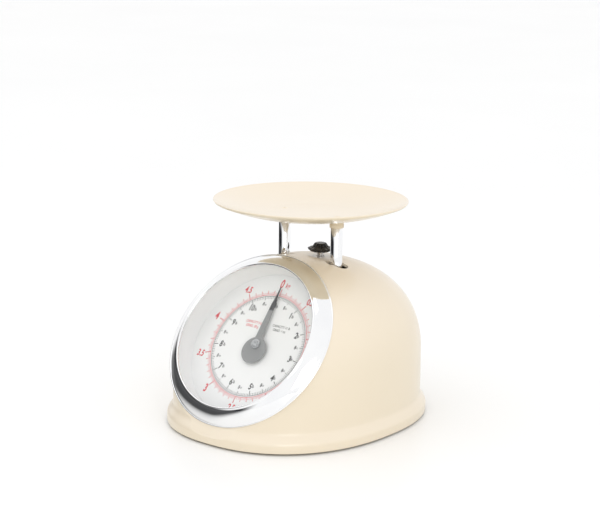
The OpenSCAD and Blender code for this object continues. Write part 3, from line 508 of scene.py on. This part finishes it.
def upright(radius, x, y, z0, z1, steps=64):
    return placed(turned([(0, z0), (radius, z0), (radius, z1), (0, z1)], steps),
                  Matrix.Translation((x * MM, y * MM, 0)))


def well_block(grow, low_z):
    front = WELL_RIM + grow
    base = block((-POST_X - front - 9.5, POST_Y, low_z), (POST_X + front + 9.5, 160, 160))
    middle = block((-POST_X, POST_Y - front / 2, low_z), (POST_X, POST_Y + 5, 160))
    return carve(base, [middle, upright(front, -POST_X, POST_Y, low_z, 160, 96),
                        upright(front, POST_X, POST_Y, low_z, 160, 96)], "UNION")


def slot_cutter(x):
    half, r = SLOT_LENGTH / 2 - SLOT_WIDTH / 2, SLOT_WIDTH / 2
    bar = block((x - half, POST_Y - r, 130), (x + half, POST_Y + r, 160))
    return carve(bar, [upright(r, x - half, POST_Y, 130, 160), upright(r, x + half, POST_Y, 130, 160)], "UNION")


cavity = keep_behind_dial(lofted_body(WALL, 0.0, 6, 22, 96), -WALL)
cavity = carve(cavity, [well_block(WALL, WELL_FLOOR - WALL)])
opening = placed(turned([(0, -8), (77.6, -8), (77.6, 3), (0, 3)], 192), DIAL)
skin = keep_behind_dial(lofted_body(0.0, SKIRT_GAP, 9, 40, 256), 0.0)
skin = carve(skin, [cavity, opening, well_block(0.0, WELL_FLOOR), slot_cutter(-POST_X), slot_cutter(POST_X),
                    upright(3.6, 0, (knob_low.y + knob_high.y) / 2 / MM, 130, 160)])
make_piece("enamel_body", skin, "housing", cream_enamel, "body_shell", sharp=28,
                         recalc=False)

# %% [markdown]
# Behind the dial opening a pressed ring carries the drum, and under the well a square cage
# guides the zero nut. They are seen only through the slots, so plain shapes are enough.

# %% Seat ring and zero cage
seat_ring = placed(soften(turned([(72.4, -10), (80.5, -10), (80.5, -8), (72.4, -8)], 128, closed=True), 0.3), DIAL)
make_piece("seat_ring", seat_ring, "housing", cream_enamel)
KNOB_Y = (knob_low.y + knob_high.y) / 2 / MM
cage = block((-8.3, KNOB_Y - 8.3, 110), (8.3, KNOB_Y + 8.3, 141.3))
cage = carve(cage, [block((-6.3, KNOB_Y - 6.3, 105), (6.3, KNOB_Y + 6.3, 131)), upright(3.1, 0, KNOB_Y, 125, 150)])
make_piece("zero_cage", cage, "housing", cream_enamel, recalc=False)

# %% [markdown]
# ## The bezel
#
# The ring round the dial is spun brass sheet, chromed: a shallow cone with a slight belly, a
# tiny rolled bead where it meets the body and a rolled lip over the glass. It is a pure lathe
# shape, so one outline and a `spin` make it.

# %% Chromed bezel
def arc(cx, cz, radius, start, end, steps):
    """Points on an arc of an outline; angles in degrees, from the radius axis towards +Z."""
    return [(cx + radius * math.cos(math.radians(start + (end - start) * k / steps)),
             cz + radius * math.sin(math.radians(start + (end - start) * k / steps))) for k in range(steps + 1)]


belly = [(82.1 - u * 11.9, 1.25 + u * 9.25 + 1.15 * math.sin(math.pi * u)) for u in (k / 18 for k in range(1, 18))]
bezel_outline = (arc(82.9, 0.7, 0.7, -80, 130, 10) + belly + arc(69.5, 10.2, 1.0, 50, 175, 8)
                 + [(68.5, 9.35), (70.6, 9.35), (74.0, 8.5), (80.6, 1.1), (78.5, 1.0), (77.3, 0.8), (77.3, -6),
                    (76, -6), (76, 0.02)])
bezel = placed(turned(bezel_outline, 224, closed=True), DIAL)
make_piece("chrome_bezel", bezel, "housing", chrome, "bezel_ring", sharp=40)

# %% [markdown]
# ## Behind the glass
#
# The drum is a white moulded cup. Its wall is what one sees between the glass and the dial, so
# it gets a smooth wall, a small step where the glass rests and a soft corner at the floor.

# %% Drum
drum_outline = [(3.1, -16), (71.8, -16), (71.8, -8), (77.2, -8), (77.2, -6), (71.8, -6), (71.8, 7.8),
                (71.3, 7.85), (70.2, 7.85), (70.0, 7.6), (70.0, -13.4), (69.6, -14.0), (69.0, -14.2), (3.1, -14.2)]
drum = placed(turned(drum_outline, 192, closed=True), DIAL)
make_piece("dial_drum_cup", drum, "housing", drum_white, "dial_drum", sharp=50)

# %% [markdown]
# The dial itself is a thin enamelled disc. Its scales are printed; here each stroke is a real
# sliver of ink a few hundredths of a millimetre high, so the scale stays sharp at any distance.
# Red counts kilograms with a stroke every 20 g, black counts pounds with a stroke per ounce.

# %% Dial plate
FACE_Z = -13.6
plate = turned([(4.0, -14.18), (69.5, -14.18), (69.65, -14.0), (69.5, -13.72), (69.2, FACE_Z), (4.3, FACE_Z),
                (4.0, -13.8)], 192, closed=True)
make_piece("dial_face", placed(plate, DIAL), "housing", dial_enamel, "dial_plate", sharp=50)

# %% Strokes, rings and numerals
INK_LOW, INK_HIGH = FACE_Z - 0.02, FACE_Z + 0.035


def stroke(bm, angle, inner, outer, width):
    """A radial stroke; the angle runs clockwise from the zero mark."""
    turn = Matrix.Rotation(-math.radians(angle), 4, "Z")
    middle = Matrix.Translation((0, (inner + outer) / 2 * MM, (INK_LOW + INK_HIGH) / 2 * MM))
    size = Matrix.Diagonal((width * MM, (outer - inner) * MM, (INK_HIGH - INK_LOW) * MM, 1))
    bmesh.ops.create_cube(bm, size=1, matrix=turn @ middle @ size)


def ink_ring(inner, outer):
    return turned([(inner, INK_LOW), (outer, INK_LOW), (outer, INK_HIGH), (inner, INK_HIGH)], 240, closed=True)


def numeral(bm, text, angle, radius, height, squeeze=0.8, bold=0.012, align="CENTER", side=0.0):
    """Upright lettering centred on a point of the dial."""
    curve = bpy.data.curves.new("numeral", "FONT")
    curve.body, curve.size, curve.shear = text, height * MM * 1.38, 0.12
    curve.align_x, curve.align_y = align, "CENTER"
    curve.offset, curve.extrude, curve.resolution_u = bold * height * MM, (INK_HIGH - INK_LOW) / 2 * MM, 4
    letter = bpy.data.objects.new("numeral", curve)
    bpy.context.scene.collection.objects.link(letter)
    bpy.context.view_layer.update()
    mesh = bpy.data.meshes.new_from_object(letter.evaluated_get(bpy.context.evaluated_depsgraph_get()))
    a = math.radians(angle)
    at = Vector(((radius * math.sin(a) + side) * MM, radius * math.cos(a) * MM, (INK_LOW + INK_HIGH) / 2 * MM))
    mesh.transform(Matrix.Translation(at) @ Matrix.Diagonal((squeeze, 1, 1, 1)))
    bm.from_mesh(mesh)
    bpy.data.objects.remove(letter)
    bpy.data.curves.remove(curve)
    bpy.data.meshes.remove(mesh)


# %% Red kilogram scale
red = join(bmesh.new(), ink_ring(49.3, 49.7))
for k in range(250):
    length, width = (6.4, 0.7) if k % 25 == 0 else (4.4, 0.48) if k % 5 == 0 else (2.6, 0.3)
    stroke(red, k * 360 / 250, 49.5, 49.5 + length, width)
for k in range(1, 10):
    text = "%g" % (k / 2)
    numeral(red, text, k * 36, 60.6, 7.4 if k % 2 == 0 else 6.2, 0.74, 0.035)
numeral(red, "0", -1.9, 60.6, 8.6, 0.62, 0.035)
numeral(red, "kg", 2.6, 60.2, 4.8, 0.8, 0.02, "LEFT", -0.4)
for line, text in enumerate(("CAPACITY 5 kg", "GRAD. 20 g")):
    numeral(red, text, 0, 20.6 - 3.8 * line, 2.5, 0.82, 0.015, "CENTER", -14.2 - 0.8 * line)
make_piece("red_kilogram_scale", placed(red, DIAL), "housing", red_ink, sharp=60)

# %% Black pound scale
POUND = 360 * 0.45359237 / 5
black = join(bmesh.new(), ink_ring(48.1, 48.5))
for k in range(int(11 * 16) + 1):
    length, width = (5.0, 0.62) if k % 16 == 0 else (3.8, 0.5) if k % 8 == 0 else (2.6, 0.36)
    if k % 16 != 0 and k % 8 != 0 and k % 4 == 0:
        length = 2.9
    if k < 176:
        stroke(black, k * POUND / 16, 48.4 - length, 48.4, width)
for k in range(11):
    angle = k * POUND
    numeral(black, str(k), angle, 39.6, 5.8, 0.78, 0.04, "RIGHT", 1.0)
    numeral(black, "lb", angle, 38.9, 3.0, 0.8, 0.02, "LEFT", 1.2)
    numeral(black, "8", angle + POUND / 2, 40.9, 3.4, 0.8, 0.03, "RIGHT", 0.0)
    numeral(black, "oz", angle + POUND / 2, 40.6, 2.1, 0.8, 0.01, "LEFT", 0.2)
for line, text in enumerate(("CAPACITY 11 lb", "GRAD. 1 oz")):
    numeral(black, text, 0, 21.4 - 3.8 * line, 2.5, 0.82, 0.015, "CENTER", 16.4 - 0.8 * line)
make_piece("black_pound_scale", placed(black, DIAL), "housing", black_ink, sharp=60)

# %% [markdown]
# ## The needle
#
# A thin blade of pressed sheet with a round counterweight below the shaft. The blade is folded
# very slightly along its middle, which is what makes a real one stiff and gives it two tones.

# %% Needle and its boss
NEEDLE_Z, NEEDLE_T, BLADE_T, WEIGHT_R = -11.2, 0.6, 0.36, 12.6
blade = bmesh.new()
half = [(4.2, 0.0), (3.35, 20.0), (2.1, 40.0), (1.1, 46.0), (0.45, 57.0)]
for x, y in half:
    for sign, lift in ((-1, 0.0), (0, 0.22), (1, 0.0)):
        blade.verts.new((sign * x * MM, y * MM, (NEEDLE_Z + NEEDLE_T - 0.22 + lift) * MM))
blade.verts.ensure_lookup_table()
for k in range(len(half) - 1):
    for c in (0, 1):
        a = 3 * k + c
        blade.faces.new([blade.verts[i] for i in (a, a + 1, a + 4, a + 3)])
grown = bmesh.ops.extrude_face_region(blade, geom=blade.faces[:])
bmesh.ops.translate(blade, vec=(0, 0, -BLADE_T * MM), verts=grown_verts(grown))
bmesh.ops.recalc_face_normals(blade, faces=blade.faces)
weight = turned([(0, NEEDLE_Z), (WEIGHT_R - 0.12, NEEDLE_Z), (WEIGHT_R, NEEDLE_Z + 0.12),
                 (WEIGHT_R, NEEDLE_Z + NEEDLE_T - 0.2), (WEIGHT_R - 0.2, NEEDLE_Z + NEEDLE_T - 0.03),
                 (WEIGHT_R - 0.6, NEEDLE_Z + NEEDLE_T), (0, NEEDLE_Z + NEEDLE_T)], 128)
placed(weight, Matrix.Translation((0, -WEIGHT_R * 0.45 * MM, 0)))
make_piece("needle", placed(join(blade, weight), DIAL), "pointer_set", needle_paint, "pointer")
boss = turned([(1.55, -10.6), (4.45, -10.6), (4.6, -10.45), (4.6, -9.3), (4.45, -9.05), (4.1, -8.95), (3.5, -8.95),
               (3.3, -8.85), (3.2, -8.35), (2.9, -8.15), (2.4, -8.1), (1.2, -8.1), (1.0, -8.2), (0, -8.25),
               (0, -10.25), (1.55, -10.25)], 96)
make_piece("needle_boss", placed(boss, DIAL), "pointer_set", boss_metal, "pointer_cap", sharp=40)

# %% [markdown]
# ## Posts, collars and the weighing dish
#
# The posts are chromed tube, the collars under the dish are moulded in cream, and the dish is
# enamelled steel sheet: a flat floor that rises ever faster to a thin rolled rim.

# %% Chromed posts
POST_LOW, POST_TOP, TUBE_WALL = post_low.z / MM, post_high.z / MM, 0.8
for name, node, x in (("left_post", "post_left", -POST_X), ("right_post", "post_right", POST_X)):
    tube = turned([(POST_R - TUBE_WALL, POST_LOW), (POST_R - 0.3, POST_LOW), (POST_R, POST_LOW + 0.3),
                   (POST_R, POST_TOP - 0.3), (POST_R - 0.3, POST_TOP), (POST_R - TUBE_WALL, POST_TOP)], 96, closed=True)
    placed(tube, Matrix.Translation((x * MM, POST_Y * MM, 0)))
    make_piece(name, tube, "pan", chrome, node, sharp=50)

# %% Cream collars
collars = bmesh.new()
for x in (-POST_X, POST_X):
    one = turned([(0, POST_TOP - 12), (4.65, POST_TOP - 12), (4.65, POST_TOP + 0.02), (POST_R + 0.03, POST_TOP + 0.02),
                  (POST_R + 0.03, POST_TOP - 3.6), (6.15, POST_TOP - 3.6), (6.4, POST_TOP - 3.3), (6.4, POST_TOP - 0.6),
                  (6.1, POST_TOP - 0.35), (6.1, POST_TOP + 0.15), (6.4, POST_TOP + 0.4), (6.4, POST_TOP + 4.2),
                  (6.15, POST_TOP + 4.48), (0, POST_TOP + 4.48)], 72)
    join(collars, placed(one, Matrix.Translation((x * MM, POST_Y * MM, 0))))
make_piece("post_collars", collars, "pan", cream_moulded, "post_caps", sharp=40)

# %% Weighing dish
RIM_R, RIM_Z = (dish_high.x - dish_low.x) / 2 / MM, dish_high.z / MM
DISH_DEPTH, DISH_T, FLAT_R = 12.5, 1.8, 40.0
FLOOR_Z = RIM_Z - DISH_DEPTH


def dish_rise(r):
    return DISH_DEPTH * (max(0.0, r - FLAT_R) / (RIM_R - FLAT_R)) ** 1.6


radii = [FLAT_R * k / 6 for k in range(1, 7)] + [FLAT_R + (RIM_R - 1.2 - FLAT_R) * k / 30 for k in range(1, 31)]
outside = [(0, FLOOR_Z - DISH_T)] + [(r + DISH_T * 0.15 * (r > FLAT_R), FLOOR_Z - DISH_T + dish_rise(r)) for r in radii]
inside = [(r - DISH_T * 0.25, min(RIM_Z - 0.12, FLOOR_Z + dish_rise(r - DISH_T * 0.25))) for r in reversed(radii)]
rim = arc(RIM_R - 0.75, RIM_Z - 0.75, 0.75, -50, 110, 8)
dish = turned(outside + rim + inside + [(0, FLOOR_Z)], 224)
placed(dish, Matrix.Translation((0, POST_Y * MM, 0)))
make_piece("weighing_dish", dish, "pan", cream_enamel, "dish", sharp=60)

# %% [markdown]
# Two sunk screws hold the dish on its collars. Their heads are enamelled with the dish, so
# only the cross in each head shows a little. The same cross is pressed into the screws
# of the base.

# %% Screws with a pressed cross
def cross_cutter(reach, width, low, high):
    a = block((-reach, -width / 2, low), (reach, width / 2, high))
    b = block((-width / 2, -reach, low), (width / 2, reach, high))
    return carve(a, [b], "UNION")


def cross_screw(head_r, head_low, head_high, shank_r, shank_low, depth=0.8, flip=False):
    """A screw with its head up, or down where flip is set."""
    edge = (head_high - head_low) * 0.35
    outline = [(0, shank_low), (shank_r * 0.8, shank_low), (shank_r, shank_low + 0.5), (shank_r, head_low),
               (head_r - 0.1, head_low), (head_r, head_low + 0.1), (head_r, head_high - edge),
               (head_r - edge * 0.4, head_high - edge * 0.3), (head_r - edge * 1.2, head_high), (0, head_high)]
    bm = carve(turned(outline, 48), [cross_cutter(head_r * 0.55, head_r * 0.24, head_high - depth, head_high + 1)])
    if flip:
        placed(bm, Matrix.Scale(-1, 4, (0, 0, 1)))
        bmesh.ops.reverse_faces(bm, faces=bm.faces)
    return bm


dish_screws = bmesh.new()
for x in (-POST_X, POST_X):
    screw = cross_screw(3.0, FLOOR_Z - 1.1, FLOOR_Z + 0.12, 1.6, FLOOR_Z - 13)
    turn = Matrix.Rotation(0.5 * x / POST_X, 4, "Z")
    join(dish_screws, placed(screw, Matrix.Translation((x * MM, POST_Y * MM, 0)) @ turn))
screw_enamel = finish("screw_enamel", [(0.83, 0.72, 0.56), (0.87, 0.77, 0.62)], 60.0, (0.3, 0.4), 900.0, 0.15, coat=0.2)
make_piece("dish_screw_heads", dish_screws, "pan", screw_enamel, "dish_screws", recalc=False)

# %% [markdown]
# ## The zero knob
#
# A black moulded knob: a scalloped flange for the fingertips and a fluted hub above it. Each
# level is a circle whose radius is rippled twelve times, and the levels are bridged like the
# body was.

# %% Fluted knob
LOBES, KNOB_R, KNOB_LOW = 12, (knob_high.x - knob_low.x) / 2 / MM, knob_low.z / MM


def fluted_ring(bm, radius, ripple, z, segments=288):
    ring = bmesh.ops.create_circle(bm, segments=segments, radius=1)["verts"]
    for v in ring:
        angle = math.atan2(v.co.y, v.co.x)
        notch = 1 - abs(math.cos(LOBES * angle / 2)) ** 0.8
        r = radius - ripple * notch
        v.co = Vector((r * math.cos(angle) * MM, (r * math.sin(angle) + KNOB_Y) * MM, z * MM))
    return list({e for v in ring for e in v.link_edges})


knob = bmesh.new()
levels = [(4.0, 0.0, 0.0), (8.3, 0.5, 0.0), (9.4, 0.9, 0.4), (10.9, 1.1, 1.7), (KNOB_R - 0.5, 1.1, 2.3),
          (KNOB_R - 0.3, 1.1, 2.7), (KNOB_R - 0.5, 1.05, 3.1), (10.9, 0.95, 3.4), (9.4, 0.9, 3.8), (8.0, 1.1, 4.3),
          (7.1, 1.2, 5.0), (6.5, 1.2, 6.0), (6.0, 1.1, 6.9), (5.5, 0.9, 7.5), (4.9, 0.6, 7.85), (4.2, 0.2, 7.95),
          (3.7, 0.0, 7.85), (1.2, 0.0, 7.75)]
loops = [fluted_ring(knob, r, ripple, KNOB_LOW + z) for r, ripple, z in levels]
for lower, upper in zip(loops, loops[1:]):
    bmesh.ops.bridge_loops(knob, edges=lower + upper)
for end in (loops[0], loops[-1]):
    bmesh.ops.contextual_create(knob, geom=end)
make_piece("fluted_zero_knob", knob, "zero_spindle", knob_black, "zero_knob", sharp=48)

# %% [markdown]
# ## Underneath
#
# A cream moulded pan closes the body from below. It has a softened edge, a recessed field with
# stiffening ribs and a raised pad for each screw and each foot; four rubber feet with a sucker rim stand proud.

# %% Base pan
PAN_LOW, PAN_TOP = 3.5, 6.0
pan = bmesh.new()
grow = wall_flare(PAN_TOP) - WALL - 1.3
edge = oval_ring(pan, HALF_WIDTH + grow, HALF_DEPTH + grow, 0, PAN_LOW, 192)
plate_face = bmesh.ops.contextual_create(pan, geom=edge)["faces"]
lifted = bmesh.ops.extrude_face_region(pan, geom=plate_face)
bmesh.ops.translate(pan, vec=(0, 0, (PAN_TOP - PAN_LOW) * MM), verts=grown_verts(lifted))
bmesh.ops.recalc_face_normals(pan, faces=pan.faces)
lower_face = min(pan.faces, key=lambda f: f.calc_center_median().z if len(f.verts) > 10 else 1)
bmesh.ops.inset_region(pan, faces=[lower_face], thickness=9 * MM, depth=0)
bmesh.ops.inset_region(pan, faces=[lower_face], thickness=0.8 * MM, depth=-0.9 * MM)
ribs = []
for k in range(-4, 5):
    ribs.append(soften(block((k * 18 - 0.8, -92, PAN_LOW + 0.05), (k * 18 + 0.8, 92, PAN_LOW + 1.2)), 0.3, 2))
FEET = [(sx * 60.0, y) for sx in (-1, 1) for y in (-71.0, 72.0)]
SCREWS = [(sx * 78.0, y) for sx in (-1, 1) for y in (-48.0, 52.0)]
pads = [upright(9.6, x, y, PAN_LOW + 0.02, PAN_LOW + 1.2, 48) for x, y in FEET]
pads += [upright(6.0, x, y, PAN_LOW + 0.02, PAN_LOW + 1.2, 48) for x, y in SCREWS]
soften(pan, 0.35, 2, 50)
join(pan, *ribs, *[soften(p, 0.25, 2) for p in pads])
make_piece("base_pan", pan, "housing", cream_moulded, "base_plate", sharp=40)

# %% Rubber feet
feet = bmesh.new()
for x, y in FEET:
    foot = turned([(0, 0.9), (4.6, 0.9), (5.2, 0.55), (5.7, 0.1), (6.3, 0.0), (7.0, 0.05), (7.6, 0.45), (7.95, 1.1),
                   (8.0, 1.8), (8.0, 4.0), (0, 4.0)], 72)
    join(feet, placed(foot, Matrix.Translation((x * MM, y * MM, 0))))
make_piece("sucker_feet", feet, "housing", soft_rubber, "rubber_feet", sharp=60)

# %% Base screws
base_screw_low, base_screw_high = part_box("base_screws")
base_screws = bmesh.new()
for k, (x, y) in enumerate(SCREWS):
    screw = cross_screw(3.2, -3.5, -base_screw_low.z / MM, 1.6, -base_screw_high.z / MM, 0.7, flip=True)
    join(base_screws, placed(screw, Matrix.Translation((x * MM, y * MM, 0)) @ Matrix.Rotation(0.4 + k, 4, "Z")))
make_piece("base_screw_heads", base_screws, "housing", turned_steel, "base_screws", recalc=False)

# %% [markdown]
# ## The mechanism
#
# The works inside keep the shapes of the engineering model, which are exact. They only need the
# right metal on each of them.

# %% Finishes of the parts that stay
STAYS = {
    sheet_steel: ["gear_bracket", "drive_arm", "upper_lever", "lower_lever", "frame", "main_spring"],
    turned_steel: ["pointer_shaft", "bracket_screws", "rack", "arm_rivets", "drive_pin", "carriage_pins", "lever_pins",
                   "frame_screws", "zero_screw", "zero_clip", "drum_screws", "post_screws"],
    turned_brass: ["pinion", "front_bush", "rear_bush", "spring_hanger"],
    guide_black: ["rack_guide"],
    cast_zinc: ["carriage"],
    soft_rubber: ["stop_bumper"],
    clear_glass: ["dial_lens"],
}
for material, names in STAYS.items():
    for name in names:
        slots = frame["nodes"][name].data.materials
        slots.clear()
        slots.append(material)
print("kept parts", sum(len(names) for names in STAYS.values()))

# %% [markdown]
# ## Stage, light and camera
#
# A wide pale floor, an even sky that lights everything softly, a weak soft panel overhead and
# a stronger one low on the right. Chrome needs something to show: in reflections only,
# the sky and the floor have a dark part low on the left, as a dark studio wall would give. The
# floor's bounce is a little warmer than the floor looks, which deepens the foot of the body.

# %% Floor
DARK_SIDE = (-0.82, -0.57, 0.0)
floor_bm = bmesh.new()
bmesh.ops.create_grid(floor_bm, x_segments=2, y_segments=2, size=14.0)
floor_mesh = bpy.data.meshes.new("floor")
floor_bm.to_mesh(floor_mesh)
floor_bm.free()
floor = bpy.data.objects.new("floor", floor_mesh)
bpy.context.scene.collection.objects.link(floor)
floor_finish = finish("floor_paint", [(0.93, 0.93, 0.93), (0.95, 0.95, 0.95)], 1.5, (0.32, 0.36), 300.0, 0.02,
                      specular=0.25)
tree = floor_finish.node_tree
shader = tree.nodes["Principled BSDF"]
pale = shader.inputs["Base Color"].links[0].from_socket
place = tree.nodes.new("ShaderNodeTexCoord")
seen = tree.nodes.new("ShaderNodeLightPath")
heading = tree.nodes.new("ShaderNodeVectorMath")
heading.operation = "NORMALIZE"
left = tree.nodes.new("ShaderNodeVectorMath")
left.operation = "DOT_PRODUCT"
left.inputs[1].default_value = DARK_SIDE
sector = tree.nodes.new("ShaderNodeMapRange")
sector.interpolation_type = "SMOOTHSTEP"
sector.inputs["From Min"].default_value = 0.62
sector.inputs["From Max"].default_value = 0.8
reach = tree.nodes.new("ShaderNodeVectorMath")
reach.operation = "LENGTH"
near = tree.nodes.new("ShaderNodeMapRange")
near.interpolation_type = "SMOOTHSTEP"
near.inputs["From Min"].default_value = 0.13
near.inputs["From Max"].default_value = 0.21
side = set_math(tree.nodes.new("ShaderNodeMath"), "MULTIPLY")
glossy = set_math(tree.nodes.new("ShaderNodeMath"), "MULTIPLY")
dark = tree.nodes.new("ShaderNodeMix")
dark.data_type = "RGBA"
dark.inputs[7].default_value = (0.01, 0.01, 0.012, 1)
warm = tree.nodes.new("ShaderNodeMix")
warm.data_type = "RGBA"
warm.inputs[7].default_value = (0.78, 0.76, 0.64, 1)
link(tree, place.outputs["Object"], heading.inputs[0])
link(tree, heading.outputs["Vector"], left.inputs[0])
link(tree, left.outputs["Value"], sector.inputs["Value"])
link(tree, place.outputs["Object"], reach.inputs[0])
link(tree, reach.outputs["Value"], near.inputs["Value"])
link(tree, sector.outputs["Result"], side.inputs[0])
link(tree, near.outputs["Result"], side.inputs[1])
link(tree, side.outputs[0], glossy.inputs[0])
link(tree, seen.outputs["Is Glossy Ray"], glossy.inputs[1])
link(tree, glossy.outputs[0], dark.inputs[0])
link(tree, pale, dark.inputs[6])
link(tree, seen.outputs["Is Diffuse Ray"], warm.inputs[0])
link(tree, dark.outputs[2], warm.inputs[6])
link(tree, warm.outputs[2], shader.inputs["Base Color"])
floor_mesh.materials.append(floor_finish)
print("floor ready")

# %% Sky
scene = bpy.context.scene
scene.view_settings.view_transform = "Standard"
world = bpy.data.worlds.new("studio")
scene.world = world
world.use_nodes = True
tree = world.node_tree
sky = tree.nodes["Background"]
place = tree.nodes.new("ShaderNodeTexCoord")
apart = tree.nodes.new("ShaderNodeSeparateXYZ")
low = tree.nodes.new("ShaderNodeMapRange")
low.interpolation_type = "SMOOTHSTEP"
low.inputs["From Min"].default_value = 0.42
low.inputs["From Max"].default_value = 0.2
left = tree.nodes.new("ShaderNodeVectorMath")
left.operation = "DOT_PRODUCT"
left.inputs[1].default_value = DARK_SIDE
sector = tree.nodes.new("ShaderNodeMapRange")
sector.interpolation_type = "SMOOTHSTEP"
sector.inputs["From Min"].default_value = 0.62
sector.inputs["From Max"].default_value = 0.8
both = set_math(tree.nodes.new("ShaderNodeMath"), "MULTIPLY")
seen = tree.nodes.new("ShaderNodeLightPath")
glossy = set_math(tree.nodes.new("ShaderNodeMath"), "MULTIPLY")
colour = tree.nodes.new("ShaderNodeMix")
colour.data_type = "RGBA"
colour.inputs[6].default_value = (1.0, 1.0, 1.0, 1)
colour.inputs[7].default_value = (0.02, 0.02, 0.024, 1)
link(tree, place.outputs["Generated"], apart.inputs[0])
link(tree, place.outputs["Generated"], left.inputs[0])
link(tree, apart.outputs["Z"], low.inputs["Value"])
link(tree, left.outputs["Value"], sector.inputs["Value"])
link(tree, low.outputs["Result"], both.inputs[0])
link(tree, sector.outputs["Result"], both.inputs[1])
link(tree, both.outputs[0], glossy.inputs[0])
link(tree, seen.outputs["Is Glossy Ray"], glossy.inputs[1])
link(tree, glossy.outputs[0], colour.inputs[0])
link(tree, colour.outputs[2], sky.inputs["Color"])
sky.inputs["Strength"].default_value = 1.04
print("sky ready")

# %% Soft panels
def panel(name, place, aim, size, power, colour=(1, 1, 1)):
    light = bpy.data.lights.new(name, "AREA")
    light.shape, light.size, light.energy, light.color = "SQUARE", size, power, colour
    obj = bpy.data.objects.new(name, light)
    bpy.context.scene.collection.objects.link(obj)
    direction = Vector(aim) - Vector(place)
    obj.matrix_world = Matrix.Translation(place) @ direction.to_track_quat("-Z", "Y").to_matrix().to_4x4()
    return obj


panel("key_panel", (-0.25, -0.5, 1.7), (0, 0, 0.08), 0.9, 1.5)
panel("fill_panel", (1.3, -1.2, 0.6), (0, 0, 0.1), 0.8, 5.0, (1.0, 0.99, 0.97))
print("panels ready")

# %% Camera
BEARING, ELEVATION, ROLL, DISTANCE = math.radians(38.64), math.radians(13.0), math.radians(0.82), 1.5
aim = Vector((-6.90, 8.49, 135.44)) * MM
back = Vector((math.sin(BEARING) * math.cos(ELEVATION), -math.cos(BEARING) * math.cos(ELEVATION), math.sin(ELEVATION)))
right = Vector((math.cos(BEARING), math.sin(BEARING), 0))
up = back.cross(right)
right, up = right * math.cos(ROLL) + up * math.sin(ROLL), up * math.cos(ROLL) - right * math.sin(ROLL)
camera_data = bpy.data.cameras.new("camera")
camera_data.lens, camera_data.sensor_width, camera_data.sensor_fit = 98.99, 36.0, "HORIZONTAL"
camera_data.clip_end = 60
camera = bpy.data.objects.new("camera", camera_data)
scene.collection.objects.link(camera)
camera.matrix_world = Matrix.Translation(aim + back * DISTANCE) @ Matrix((right, up, back)).transposed().to_4x4()
scene.camera = camera
print("camera at", [round(v, 3) for v in camera.location])
